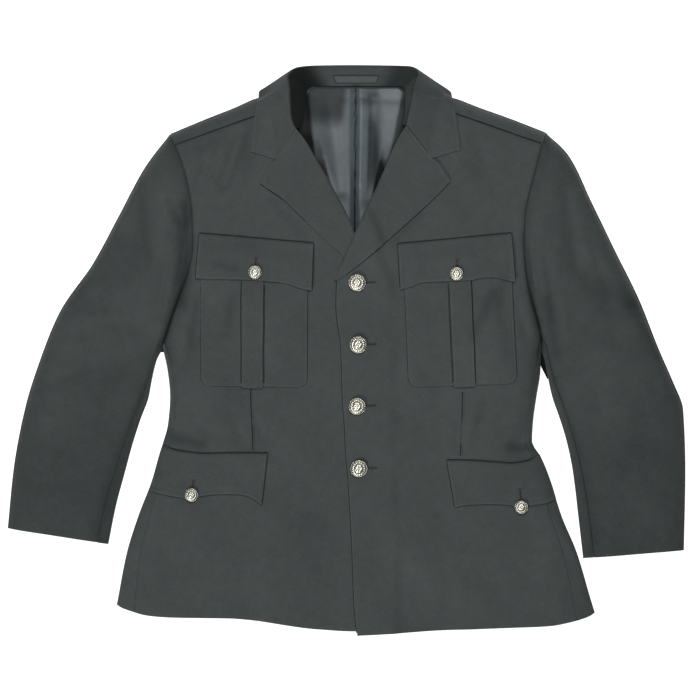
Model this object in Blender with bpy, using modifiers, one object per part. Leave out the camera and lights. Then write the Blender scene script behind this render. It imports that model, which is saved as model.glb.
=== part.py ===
"""Police uniform tunic, buttoned and laid flat on its back.

Sizes are millimetres and are turned to metres when a mesh is made. +X is to the
wearer's left, +Y towards the collar and +Z up from the surface that the tunic
lies on. The tunic is a hollow shell: the back and the lower half of each sleeve
lie on z = 0, and the fronts and the upper half of each sleeve are a soft pillow
above them. Every cloth piece is a wall of its own.
"""
import math

import bpy
import numpy as np

MM = 0.001
WALL = 1.6            # cloth with its interlining, as one wall
LAYER_GAP = 0.4       # air between two layers of cloth
SEAM_GAP = 0.3        # air between two pieces at a seam
SHOULDER_GAP = 0.5    # the same at the shoulder seam, which dips towards the neck
PITCH = WALL + LAYER_GAP
RIM = 3.5             # radius of the fold where the cloth turns under
ROLL_IN = 45.0        # how far in from a fold the cloth reaches its full height
CENTRE_X = 7.0        # middle of the collar

# Height of the cloth above the surface, read at a place's Y.
HEIGHTS = [
    # y, body, sleeve
    (380, 24.0, 24.0),
    (320, 26.0, 26.0),
    (250, 27.0, 27.0),
    (150, 26.0, 26.0),
    (60, 24.0, 24.0),
    (5, 22.0, 22.0),
    (-60, 19.0, 19.0),
    (-130, 15.0, 16.5),
    (-200, 13.5, 14.0),
    (-265, 12.0, 11.5),
    (-380, 10.0, 10.0),
]

# The body's side folds, as the outline shows them.
SIDES = [
    # y, x at the wearer's right, x at the wearer's left
    (-350, -306, 329),
    (-334, -303, 324),
    (-267, -290, 304),
    (-219, -275, 284),
    (-172, -257, 269),
    (-140, -248, 256),
    (-121, -242, 245),
    (-99, -236, 246),
    (-61, -233, 251),
    (-29, -236, 256),
    (4, -243, 257),
]

# How far the side seam runs inside the side fold, on the upper side.
SIDE_SEAM = [
    # y, inset
    (-350, 24.0),
    (-247, 17.0),
    (-130, 9.0),
    (4, 6.0),
]

ARMHOLE_RIGHT = [(-232, 284), (-225, 268), (-216, 244), (-207, 211), (-204, 180), (-202, 145),
                 (-207, 110), (-219, 74), (-233, 34), (-243, 4)]
ARMHOLE_LEFT = [(262, 286), (255, 262), (246, 227), (238, 195), (234, 162), (234, 132),
                (237, 96), (244, 66), (253, 34), (256.5, 17), (257, 4)]

# Shoulder folds from the armhole to the neck.
SHOULDER_RIGHT = [(-232, 284), (-184, 304), (-146, 319), (-118, 331), (-98, 335), (-78, 338), (-60, 344)]
SHOULDER_LEFT = [(262, 286), (216, 304), (174, 319), (142, 331), (122, 335), (102, 338), (84, 344)]
NECK_RIGHT = (-60, 329)
NECK_LEFT = (84, 331)

SLEEVE_OUTER_RIGHT = [(-232, 284), (-265, 240), (-299, 177), (-333, 114), (-377, 50), (-403, -13),
                      (-423, -77), (-438, -156), (-446, -236)]
SLEEVE_INNER_RIGHT = [(-243, 4), (-252, -13), (-258, -37), (-263, -63), (-273, -90), (-284, -124),
                      (-294, -161), (-306, -206), (-316, -256)]
SLEEVE_OUTER_LEFT = [(262, 286), (292, 256), (323, 193), (354, 129), (385, 66), (410, 3),
                     (432, -48), (443, -78), (446, -158), (444, -265)]
SLEEVE_INNER_LEFT = [(257, 4), (263, -13), (267, -34), (273, -61), (282, -87), (291, -116),
                     (299, -152), (303, -180), (307, -215), (314, -275)]

# Front edges, from the hem up the edge and the roll line to the neck.
INNER_RIGHT = [(-372, 44), (-250, 41), (-120, 38), (0, 36), (60, 35), (86, 33), (111, 24), (147, 9),
               (176, -2), (204, -17), (236, -34), (268, -52), (289, -67), (310, -64), (331, -60)]
INNER_LEFT = [(-377, 15), (-331, 10), (-277, 8), (-181, 3), (-131, -1), (-88, -3), (-66, -5), (1, -7),
              (49, -13), (78, -14), (90, -13), (117, -1), (144, 10), (182, 28), (223, 47), (268, 64),
              (294, 79), (314, 82), (334, 84)]

HEM_RIGHT = [(-306, -334), (-299, -339), (-288, -343), (-262, -350), (-225, -353), (-151, -354),
             (-88, -362), (-51, -367), (10, -371), (44, -371)]
HEM_LEFT = [(10, -377), (61, -374), (123, -370), (203, -367), (267, -364), (303, -357), (321, -351),
            (329, -346)]
HEM_BACK = HEM_RIGHT + [(123, -369), (203, -367), (267, -364), (303, -357), (321, -351), (329, -346)]
HEM_LEVEL = -371.0
HEM_FADE = 110.0      # height over which the rows lose the hem's curve

# Rows across the body below the armholes.
BODY_ROWS = [-371, -350, -326, -300, -274, -248, -222, -198, -176, -156, -138, -121, -99, -68, -32, 4]

# The largest folds: soft troughs, or ridges where the depth is positive.
FOLDS = [
    # name, start, end, half width, depth
    ("right chest", (-137, 282), (-161, 219), 9.0, -4.5),
    ("right chest, small", (-184, 245), (-193, 215), 8.0, -2.5),
    ("right armhole", (-213, 188), (-216, 40), 10.0, -3.5),
    ("left armhole", (240, 190), (250, 40), 9.0, -2.5),
    ("right sleeve head", (-229, 196), (-215, 167), 8.0, -4.0),
    ("right sleeve, upper", (-273, 205), (-288, 126), 15.0, -3.0),
    ("right elbow", (-262, 30), (-330, 60), 18.0, -3.0),
    ("right elbow, low", (-270, -40), (-355, -10), 16.0, -2.5),
    ("right forearm", (-310, -80), (-400, -115), 18.0, -2.0),
    ("left sleeve, upper", (290, 190), (305, 110), 15.0, -2.5),
    ("left elbow", (322, 92), (361, 40), 18.0, -3.5),
    ("left elbow, low", (285, -20), (350, 10), 16.0, -2.5),
    ("left forearm", (315, -95), (400, -120), 18.0, -2.0),
    ("right waist, front", (-117, -98), (-108, -114), 10.0, -3.0),
    ("right waist, side", (-196, -92), (-178, -110), 11.0, -3.0),
    ("right side", (-238, -100), (-220, -112), 8.0, -2.0),
    ("left side", (242, -108), (222, -122), 8.0, -2.5),
    ("left waist", (151, -100), (149, -120), 10.0, -2.0),
    ("right skirt", (-222, -230), (-240, -330), 20.0, -1.5),
    ("left skirt", (232, -225), (252, -335), 20.0, -1.5),
    ("right chest side", (-70, 60), (-30, -30), 26.0, 1.5),
    ("right neck side", (-54, 338), (-62, 306), 22.0, -9.0),
    ("left neck side", (80, 340), (78, 308), 20.0, -8.0),
]


def hermite(table, at):
    """Value of a smooth curve through (place, value) rows, with no overshoot."""
    rows = np.array(sorted(table), dtype=float)
    place, value = rows[:, 0], rows[:, 1]
    step = np.diff(place)
    slope = np.diff(value) / step
    tangent = np.zeros(len(place))
    same_way = slope[:-1] * slope[1:] > 0
    mean = 2 * slope[:-1] * slope[1:] / np.where(same_way, slope[:-1] + slope[1:], 1.0)
    tangent[1:-1] = np.where(same_way, mean, 0.0)
    tangent[0], tangent[-1] = slope[0], slope[-1]
    at = np.clip(np.asarray(at, dtype=float), place[0], place[-1])
    index = np.clip(np.searchsorted(place, at, side="right") - 1, 0, len(step) - 1)
    size = step[index]
    t = (at - place[index]) / size
    return ((2 * t**3 - 3 * t**2 + 1) * value[index] + (t**3 - 2 * t**2 + t) * size * tangent[index]
            + (3 * t**2 - 2 * t**3) * value[index + 1] + (t**3 - t**2) * size * tangent[index + 1])


def run_length(points):
    """Distance run along a line of points at each of them."""
    points = np.asarray(points, dtype=float)
    return np.concatenate([[0.0], np.cumsum(np.linalg.norm(np.diff(points, axis=0), axis=1))])


def along(points, fraction):
    """Points of a smooth line through points, at fractions of its length."""
    points = np.asarray(points, dtype=float)
    length = run_length(points)
    place = np.asarray(fraction, dtype=float) * length[-1]
    values = [hermite(list(zip(length, points[:, k])), place) for k in range(points.shape[1])]
    return np.stack(values, axis=-1)


def unit(way):
    return way / np.linalg.norm(way, axis=-1, keepdims=True)


def ease(value):
    """Smooth step from 0 to 1."""
    value = np.clip(value, 0.0, 1.0)
    return value * value * (3 - 2 * value)


def column(table, number):
    """One value column of a table of rows, with the first column as its place."""
    return [(row[0], row[number]) for row in table]


def dense(points, count=90):
    return along(points, np.linspace(0, 1, count))


def side_line(number):
    y = np.linspace(-350, 4, 90)
    return np.stack([hermite(column(SIDES, number), y), y], axis=-1)


# Closed folds of the outline, each run with the cloth at its left hand.
OUTLINE = [
    side_line(1)[::-1],
    side_line(2),
    dense(SHOULDER_RIGHT),
    dense(SHOULDER_LEFT)[::-1],
    dense(SLEEVE_OUTER_RIGHT)[::-1],
    dense(SLEEVE_OUTER_LEFT),
    dense(SLEEVE_INNER_RIGHT),
    dense(SLEEVE_INNER_LEFT)[::-1],
]
SEGMENT_START = np.concatenate([line[:-1] for line in OUTLINE])
SEGMENT_RUN = np.concatenate([np.diff(line, axis=0) for line in OUTLINE])
NEAR_EDGE = 0.25


def edge_distance(x, y):
    """Distance to the nearest closed fold, and the way in from it."""
    place = np.stack([x, y], axis=-1).reshape(-1, 1, 2)
    run = SEGMENT_RUN[None]
    part = ((place - SEGMENT_START) * run).sum(-1) / (run * run).sum(-1)
    nearest = SEGMENT_START + np.clip(part, 0, 1)[..., None] * run
    away = place - nearest
    distance = np.linalg.norm(away, axis=-1)
    least = distance.min(axis=1)
    inward = np.stack([-run[..., 1], run[..., 0]], axis=-1)
    inward = inward / np.linalg.norm(inward, axis=-1, keepdims=True)
    close = distance < (least + 0.05)[:, None]
    on_edge = (inward * close[..., None]).sum(1)
    pick = away[np.arange(len(least)), distance.argmin(axis=1)]
    way = np.where((least < NEAR_EDGE)[:, None], on_edge, pick)
    way = way / np.maximum(np.linalg.norm(way, axis=-1, keepdims=True), 1e-9)
    return least.reshape(np.shape(x)), way[:, 0].reshape(np.shape(x)), way[:, 1].reshape(np.shape(x))


def fold_height(x, y):
    """Sum of the troughs and ridges: a bell across each line, fading past its ends."""
    total = np.zeros(np.shape(x))
    for _, start, end, half_width, depth in FOLDS:
        run = np.subtract(end, start)
        part = np.clip(((x - start[0]) * run[0] + (y - start[1]) * run[1]) / (run @ run), 0, 1)
        away = np.hypot(x - start[0] - part * run[0], y - start[1] - part * run[1])
        total = total + depth * np.exp(-(away / half_width) ** 2)
    return total


def full_height(x, y, kind):
    return hermite(column(HEIGHTS, 2 if kind == "sleeve" else 1), y)


COLLAR_LIFT = PITCH + 1.2
COLLAR_HALF = 128.0          # half the width of the collar beneath, and its middle
COLLAR_MIDDLE_X = 12.0
COLLAR_LIFT_FROM = 306.0


def back_rise(x, y):
    """The back lies on the collar's fall, so it is lifted next to the neck."""
    across = ease((COLLAR_HALF - abs(x - COLLAR_MIDDLE_X)) / 14)
    return COLLAR_LIFT * across * ease((y - COLLAR_LIFT_FROM) / 16)


def surface(x, y, side, kind="body"):
    """Outer surface and its normal at a plan place.

    Upper side: a quarter ellipse from the rim up to the full height. Under side: a
    quarter circle from the rim down to the surface that the tunic lies on.
    """
    x = np.asarray(x, dtype=float)
    y = np.asarray(y, dtype=float)
    inset, way_x, way_y = edge_distance(x, y)
    step = 1.0
    lift = back_rise(x, y)
    part = np.clip(inset / ROLL_IN, 0, 1)
    swell = np.sqrt(np.maximum(1 - (1 - part) ** 2, 1e-9))
    fade = ease(part * 3)

    def rise(px, py):
        return (full_height(px, py, kind) - RIM) * swell + fold_height(px, py) * fade

    top_z = RIM + lift * (1 - part) + rise(x, y)
    steep = (full_height(x, y, kind) - RIM) * (1 - part) / (ROLL_IN * swell)
    slope_x = steep * way_x + (rise(x + step, y) - rise(x - step, y)) / (2 * step)
    slope_y = steep * way_y + (rise(x, y + step) - rise(x, y - step)) / (2 * step)
    top_normal = np.stack([-slope_x, -slope_y, np.ones_like(x)], axis=-1)

    out = np.clip(1 - inset / RIM, 0, 1)
    drop = np.sqrt(np.maximum(1 - out ** 2, 0))
    under_z = lift + RIM * (1 - drop)
    under_normal = np.stack([-way_x * out, -way_y * out, -drop], axis=-1)

    upper = np.asarray(side) > 0
    z = np.where(upper, top_z, under_z)
    normal = np.where(upper[..., None], top_normal, under_normal)
    rim = np.stack([-way_x, -way_y, np.zeros_like(x)], axis=-1)
    normal = np.where((inset < NEAR_EDGE)[..., None], rim, normal)
    normal = normal / np.linalg.norm(normal, axis=-1, keepdims=True)
    return np.stack([x, y, z], axis=-1), normal


def grid_normals(points):
    """Normals of a grid of points, from its own two directions."""
    down = np.gradient(points, axis=0)
    across = np.gradient(points, axis=1)
    normal = np.cross(across, down)
    return normal / np.maximum(np.linalg.norm(normal, axis=-1, keepdims=True), 1e-9)


def principled(name, colour, roughness, metallic=0.0):
    material = bpy.data.materials.new(name)
    material.use_nodes = True
    shader = material.node_tree.nodes["Principled BSDF"]
    shader.inputs["Base Color"].default_value = (*colour, 1.0)
    shader.inputs["Roughness"].default_value = roughness
    shader.inputs["Metallic"].default_value = metallic
    return material


def wall(name, outer, inner, material, cells=None):
    """Closed wall between two grids of points: both faces, and a rim at every open edge."""
    rows, columns = outer.shape[:2]
    if cells is None:
        cells = np.ones((rows - 1, columns - 1), dtype=bool)
    points = np.concatenate([outer.reshape(-1, 3), inner.reshape(-1, 3)])
    half = rows * columns
    faces = []
    edges = set()
    for r, c in zip(*np.nonzero(cells)):
        a = r * columns + c
        ring = (a, a + 1, a + columns + 1, a + columns)
        faces.append(ring)
        faces.append(tuple(half + k for k in reversed(ring)))
        edges.update(zip(ring, ring[1:] + ring[:1]))
    for start, end in edges:
        if (end, start) not in edges:
            faces.append((end, start, half + start, half + end))
    used = sorted({k for face in faces for k in face})
    place = {k: number for number, k in enumerate(used)}
    faces = [tuple(int(place[k]) for k in face) for face in faces]
    corners = points[used]
    volume = 0.0
    for face in faces:
        for k in range(1, len(face) - 1):
            volume += np.dot(corners[face[0]], np.cross(corners[face[k]], corners[face[k + 1]]))
    if volume < 0:
        faces = [tuple(reversed(face)) for face in faces]
    mesh = bpy.data.meshes.new(name)
    mesh.from_pydata((corners * MM).tolist(), [], faces)
    mesh.shade_smooth()
    mesh.set_sharp_from_angle(angle=math.radians(40))
    mesh.materials.append(material)
    return add_object(name, mesh)


def add_object(name, mesh):
    piece = bpy.data.objects.new(name, mesh)
    tunic.objects.link(piece)
    return piece


def cloth(name, x, y, side, material, kind="body", rise=0.0, thickness=WALL, cells=None):
    """Wall on the tunic's own surface, moved out by rise."""
    base, normal = surface(x, y, side, kind)
    outer = base + normal * np.asarray(rise)[..., None]
    return wall(name, outer, outer - normal * thickness, material, cells)


def clear_scene():
    for piece in list(bpy.data.objects):
        bpy.data.objects.remove(piece, do_unlink=True)


# Seam stations round the armhole, shared by the body and the sleeve.
NEAR_FOLD = (0.0, 1.2, 4.0, 9.0, 16.0)
MIDDLE_PARTS = (0.065, 0.155, 0.27, 0.39, 0.51, 0.63, 0.74, 0.84, 0.915, 0.965)
NEAR_ARMPIT = (6.0, 1.8, 0.0)
SHOULDER_SEAM = len(NEAR_FOLD) - 1


def armhole_stations(length):
    start, end = NEAR_FOLD[-1], length - NEAR_ARMPIT[0]
    middle = [start + part * (end - start) for part in MIDDLE_PARTS]
    return np.array(list(NEAR_FOLD) + middle + [length - part for part in NEAR_ARMPIT])


class Side:
    """One half of the tunic, with its tables and the way out from the middle."""

    def __init__(self, name):
        right = name == "right"
        self.name = name
        self.out = -1.0 if right else 1.0
        self.side_column = 1 if right else 2
        self.armhole = ARMHOLE_RIGHT if right else ARMHOLE_LEFT
        self.shoulder = SHOULDER_RIGHT if right else SHOULDER_LEFT
        self.neck = np.array(NECK_RIGHT if right else NECK_LEFT, dtype=float)
        self.inner = INNER_RIGHT if right else INNER_LEFT
        self.hem = HEM_RIGHT if right else HEM_LEFT
        self.sleeve_outer = SLEEVE_OUTER_RIGHT if right else SLEEVE_OUTER_LEFT
        self.sleeve_inner = SLEEVE_INNER_RIGHT if right else SLEEVE_INNER_LEFT
        length = run_length(dense(self.armhole, 400))[-1]
        self.stations = armhole_stations(length)
        self.armhole_points = along(self.armhole, self.stations / length)

    def side_x(self, y):
        return hermite(column(SIDES, self.side_column), y)

    def hem_shift(self, x, row, hem):
        fade = ease(1 - (row - HEM_LEVEL) / HEM_FADE)
        return (hermite(hem, x) - HEM_LEVEL) * fade

    def side_point(self, row, hem):
        y = float(row)
        for _ in range(3):
            x = float(self.side_x(y))
            y = row + float(self.hem_shift(x, row, hem))
        return np.array([self.side_x(y), y])

    def seam_inset(self, y):
        return hermite(SIDE_SEAM, y)

    def shift_armhole(self, amount):
        """Armhole points moved towards the sleeve (plus) or the body (minus)."""
        run = np.gradient(self.armhole_points, axis=0)
        away = np.stack([-run[:, 1], run[:, 0]], axis=-1)
        away /= np.linalg.norm(away, axis=-1, keepdims=True)
        at_armpit = ease(1 - (self.stations[-1] - self.stations) / 16)[:, None]
        at_shoulder = ease(1 - self.stations / 4)[:, None]
        return self.armhole_points + away * amount * (1 + 8 * at_armpit + at_shoulder) * self.out


FRONT_COLUMNS = np.array([0, 0.02, 0.055, 0.105, 0.17, 0.27, 0.38, 0.49, 0.60, 0.70, 0.77, 0.83, 0.88, 0.925,
                          0.965, 1])
GORGE_LEVEL = {"right": 289.0, "left": 293.0}  # where the neck edge turns off the roll line


def front_plan(half):
    """Plan places of a front: rows from the hem up to the shoulder seam."""
    rows = []
    for row in BODY_ROWS[:-1]:
        edge = half.side_point(row, HEM_BACK)
        inset = float(half.seam_inset(edge[1])) + SEAM_GAP / 2
        start = np.array([edge[0] - half.out * inset, row])
        end = np.array([hermite(half.inner, row), row])
        line = start + FRONT_COLUMNS[:, None] * (end - start)
        shift = half.hem_shift(line[:, 0], row, half.hem)
        line[:, 1] += shift
        rows.append(line)
    body_edge = half.shift_armhole(-SEAM_GAP / 2)
    last, first = len(body_edge) - 3, SHOULDER_SEAM
    corners = [body_edge[number][1] for number in (last, first + 2, first)]
    levels = [BODY_ROWS[-1], GORGE_LEVEL[half.name], half.neck[1]]
    for number in range(last, first - 1, -1):
        start = body_edge[number]
        level = np.interp(start[1], corners, levels)
        end = np.array([hermite(half.inner, level), level])
        rows.append(start + FRONT_COLUMNS[:, None] * (end - start))
    plan = np.array(rows)
    plan[-1, :, 1] -= SHOULDER_GAP / 2
    return plan


LIFT_REACH = 34.0     # how far past the under front's edge the lift over it begins
LIFT_RAMP = 18.0      # and over how much it grows to its full height
LAPEL_LIFT = 1.55     # more lift over the under lapel, in layers
LAPEL_BREAK = (54.0, 76.0)   # heights between which it sets in
LIFT_END = (160.0, 200.0)    # heights between which the fronts part


def overlap_lift(x, y):
    """How far the upper front is lifted over the under front and its lapel."""
    over = ease((hermite(INNER_RIGHT, y) + LIFT_REACH - x) / LIFT_RAMP)
    lapel = LAPEL_LIFT * ease((y - LAPEL_BREAK[0]) / (LAPEL_BREAK[1] - LAPEL_BREAK[0]))
    return over * PITCH * (1 + lapel) * ease((LIFT_END[1] - y) / (LIFT_END[1] - LIFT_END[0]))


def build_front(half, material):
    plan = front_plan(half)
    x, y = plan[..., 0], plan[..., 1]
    rise = overlap_lift(x, y) if half.name == "left" else np.zeros_like(x)
    cloth("front_" + half.name, x, y, np.ones_like(x), material, rise=rise)


BACK_COLUMNS = 8      # columns from each side to the neck
NECK_COLUMNS = 5


def build_back(halves, material):
    """Back: one sheet on the floor, turned up at the sides to the side seams and over
    the shoulders to the shoulder seams."""
    right, left = halves
    near = np.array([0, 1.2, 4.0])
    inner_parts = np.linspace(0, 1, BACK_COLUMNS - len(near) + 1)[1:]
    neck_parts = np.linspace(0, 1, NECK_COLUMNS + 1)[1:-1]

    def half_line(start, end):
        """Places from the side to the neck column: a few near the fold, then even ones."""
        way = (end - start) / np.linalg.norm(end - start)
        close = start + near[:, None] * way
        return np.concatenate([close, close[-1] + inner_parts[:, None] * (end - close[-1])])

    def full_line(start, neck_start, neck_end, end):
        first = half_line(start, neck_start)
        last = half_line(end, neck_end)[::-1]
        middle = neck_start + neck_parts[:, None] * (neck_end - neck_start)
        return np.concatenate([first, middle, last])

    neck_x = (right.shoulder[-1][0], left.shoulder[-1][0])
    rows, sides = [], []
    wraps = []
    for row in BODY_ROWS:
        edges = [half.side_point(row, HEM_BACK) for half in halves]
        starts = [np.array([edge[0], row]) for edge in edges]
        necks = [np.array([x, row]) for x in neck_x]
        line = full_line(starts[0], necks[0], necks[1], starts[1])
        line[:, 1] += right.hem_shift(line[:, 0], row, HEM_BACK)
        rows.append(line)
        sides.append(-np.ones(len(line)))
        wrap = []
        for half, edge in zip(halves, edges):
            inset = float(half.seam_inset(edge[1])) - SEAM_GAP / 2
            turned = edge[0] - half.out * inset * np.array([1.0, 0.3])
            shift = half.hem_shift(turned, row, HEM_BACK)
            wrap.append(np.stack([turned, row + shift], axis=-1))
        wraps.append(wrap)

    arms = [half.shift_armhole(-SEAM_GAP / 2) for half in halves]
    count = len(arms[0])
    rows.pop()
    sides.pop()
    low_necks = [np.array([x, BODY_ROWS[-1]]) for x in neck_x]
    bottom = full_line(arms[0][-1], low_necks[0], low_necks[1], arms[1][-1])

    def ridge_line(half, arm):
        """Places along the shoulder fold from the armhole to the neck."""
        fold = np.array(half.shoulder, dtype=float)
        fold[0] = arm[0]
        length = run_length(dense(fold, 200))[-1]
        places = np.concatenate([near, near[-1] + inner_parts * (length - near[-1])])
        return along(fold, places / length)

    ridges = [ridge_line(half, arm) for half, arm in zip(halves, arms)]
    neck_start, neck_end = ridges[0][-1], ridges[1][-1]
    neck_line = neck_start + neck_parts[:, None] * (neck_end - neck_start)
    ridge = np.concatenate([ridges[0], neck_line, ridges[1][::-1]])
    width = ridge[:, 0]
    across = ((width - width[0]) / (width[-1] - width[0]))[:, None]
    for number in range(count - 1, -1, -1):
        start, end = arms[0][number], arms[1][number]
        part = 1 - right.stations[number] / right.stations[-1]
        line = (1 - part) * bottom + part * ridge
        line += (1 - across) * (start - line[0]) + across * (end - line[-1])
        rows.append(line)
        sides.append(-np.ones(len(line)))
    rows_under = len(rows)

    seam_row = []
    for half, arm, fold in zip(halves, arms, ridges):
        seam_start = arm[SHOULDER_SEAM] + np.array([0, SHOULDER_GAP / 2])
        seam_end = half.neck + np.array([0, SHOULDER_GAP / 2])
        way = np.linalg.norm(fold - fold[0], axis=1) / np.linalg.norm(fold[-1] - fold[0])
        seam_row.append(seam_start + way[:, None] * (seam_end - seam_start))
    for number in range(1, SHOULDER_SEAM + 1):
        part = NEAR_FOLD[number] / NEAR_FOLD[SHOULDER_SEAM]
        turned = []
        for arm, fold, seam in zip(arms, ridges, seam_row):
            line = (1 - part) * fold + part * seam
            fade = np.linspace(1, 0, len(line))[:, None]
            turned.append(line + fade * (arm[number] - line[0]) * (number < SHOULDER_SEAM))
        middle = np.repeat(turned[0][-1:], len(neck_parts), axis=0)
        rows.append(np.concatenate([turned[0], middle, turned[1][::-1]]))
        sides.append(np.ones(len(ridge)))

    plan = np.array(rows)
    side = np.array(sides)
    total_rows, total_columns = plan.shape[:2]
    full = np.zeros((total_rows, total_columns + 4, 2))
    full_side = np.ones((total_rows, total_columns + 4))
    full[:, 2:-2] = plan
    full_side[:, 2:-2] = side
    body_rows = len(BODY_ROWS)
    for number in range(total_rows):
        if number < body_rows - 1:
            full[number, :2] = wraps[number][0]
            full[number, -2:] = wraps[number][1][::-1]
        elif number == body_rows - 1:
            full[number, :2] = arms[0][[-3, -2]]
            full[number, -2:] = arms[1][[-2, -3]]
        else:
            full[number, :2] = plan[number, :1]
            full[number, -2:] = plan[number, -1:]
    cells = np.ones((total_rows - 1, total_columns + 3), dtype=bool)
    cells[body_rows - 1:, :2] = False
    cells[body_rows - 1:, -2:] = False
    first_neck = 2 + BACK_COLUMNS - 1
    cells[rows_under - 1:, first_neck:first_neck + NECK_COLUMNS] = False
    cloth("back", full[..., 0], full[..., 1], full_side, material, cells=cells)


SLEEVE_ROWS = 16
FIRST_ROW = (22.0, 7.0)   # the first row's distance from the armhole: at the shoulder, at the armpit
FOREARM_TURN = 9.0    # inside the inner fold, on the upper side: the seam is one station further in
HINDARM_SEAM = 6      # station of the seam beneath, next to the outer fold


def relax(grid, rounds=160):
    """Evens out a plan grid: each inner point moves to the middle of its neighbours."""
    for _ in range(rounds):
        around = grid[:-2, 1:-1] + grid[2:, 1:-1] + grid[1:-1, :-2] + grid[1:-1, 2:]
        grid[1:-1, 1:-1] = around / 4
    return grid


def sleeve_plan(half):
    """Plan places of a sleeve: rows from the armhole to the cuff, stations across."""
    arm = half.shift_armhole(SEAM_GAP / 2)
    near = len(NEAR_FOLD)
    coarse_arm = np.concatenate([arm[:1], arm[near:-3], arm[-1:]])
    parts = np.concatenate([[0.0], half.stations[near:-3], half.stations[-1:]]) / half.stations[-1]
    places = np.linspace(0, 1, SLEEVE_ROWS)
    outer = along(half.sleeve_outer, places)
    inner = along(half.sleeve_inner, places)
    outer[0], inner[0] = arm[0], arm[-1]
    lines = outer[:, None] + parts[None, :, None] * (inner - outer)[:, None]
    bow = (coarse_arm - lines[0])[None] * (1 - ease(places / 0.5))[:, None, None]
    run = np.gradient(coarse_arm, axis=0)
    away = unit(np.stack([-run[:, 1], run[:, 0]], axis=-1)) * half.out
    coarse = lines + bow
    coarse[0] = coarse_arm
    coarse[1, 1:-1] = (coarse_arm + away * np.linspace(*FIRST_ROW, len(away))[:, None])[1:-1]
    coarse[1:] = relax(coarse[1:])
    start, whole = NEAR_FOLD[-1], half.stations[-1]
    middle = (half.stations[near:-3] - start) / (whole - NEAR_ARMPIT[0] - start)
    rows = []
    for number, line in enumerate(coarse):
        length = run_length(line)[-1]
        seam = NEAR_ARMPIT[0] + (FOREARM_TURN - NEAR_ARMPIT[0]) * ease(places[number] / 0.35)
        turn = length - seam
        across = [*NEAR_FOLD, *(start + middle * (turn - start)), turn, length - 0.3 * seam, length]
        rows.append(along(line, np.array(across) / length))
    rows[0] = arm
    return np.array(rows)


def build_sleeve(half, material):
    plan = sleeve_plan(half)
    hind = HINDARM_SEAM
    fore = plan.shape[1] - 4
    gap_part = SEAM_GAP / 2

    def moved(line, towards):
        wider = np.interp(np.arange(len(line)), [0, 1, 2, 3, 5], [4.0, 4.0, 3.2, 2.4, 1.0])
        return line + unit(towards - line) * gap_part * wider[:, None]

    top = np.concatenate([plan[:, hind:0:-1], plan[:, :fore + 1]], axis=1)
    top_side = np.concatenate([-np.ones(hind), np.ones(fore + 1)])
    top[:, 0] = moved(top[:, 0], top[:, 1])
    top[:, -1] = moved(top[:, -1], top[:, -2])
    turned = plan[:, -2:fore - 1:-1]
    under = np.concatenate([plan[:, hind:], turned], axis=1)
    under_side = np.concatenate([-np.ones(plan.shape[1] - hind), np.ones(turned.shape[1])])
    under[:, 0] = moved(under[:, 0], under[:, 1])
    under[:, -1] = moved(under[:, -1], under[:, -2])
    for name, part, side in (("top_sleeve_", top, top_side), ("under_sleeve_", under, under_side)):
        side = np.broadcast_to(side, part.shape[:2])
        cloth(name + half.name, part[..., 0], part[..., 1], side, material, kind="sleeve")


def on_front(half, x, y, rise, lean=0.0):
    """Points on a front moved out by rise, and their normals.

    lean carries the lift over the under front that much further out.
    """
    base, normal = surface(x, y, np.ones_like(x))
    lift = overlap_lift(x - lean, y) if half.name == "left" else 0.0
    return base + normal * (np.asarray(rise) + lift)[..., None], normal


# Lapels: height of the roll line, and the free edge there, from the break to the notch.
LAPEL_RIGHT = [
    # roll y, edge x, edge y
    (88, 28, 94),
    (111, 3, 117),
    (147, -22, 139),
    (176, -45, 161),
    (204, -66, 181),
    (236, -86, 200),
    (268, -101, 210),
    (288, -113, 218),
]
LAPEL_LEFT = [
    (91, -7, 94),
    (117, 18, 113),
    (144, 38, 130),
    (182, 61, 150),
    (223, 90, 176),
    (268, 118, 202),
    (292, 137, 222),
]
# Top edge of a lapel past the roll: the gorge seam's end, the notch and the tip.
LAPEL_TOP = {
    "right": [(0.55, -92.8, 249.0), (0.64, -98.6, 244.6), (1.0, -113, 218)],
    "left": [(0.55, 112.2, 250.0), (0.64, 119.2, 246.4), (1.0, 137, 222)],
}
LAPEL_ROWS = 14
LAPEL_LEAN = 12.0
# Section of a lapel from under the roll line to its free edge.
LAPEL_SECTION = [
    # part of the width, beyond the roll line, rise
    (0.0, 2.9, -1.0),
    (0.0, 3.5, 1.0),
    (0.0, 1.8, 3.5),
    (0.10, 0.0, 4.4),
    (0.28, 0.0, 3.6),
    (0.55, 0.0, 2.8),
    (0.64, 0.0, 2.8),
    (0.82, 0.0, 2.6),
    (1.0, 0.0, 2.5),
]


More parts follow.
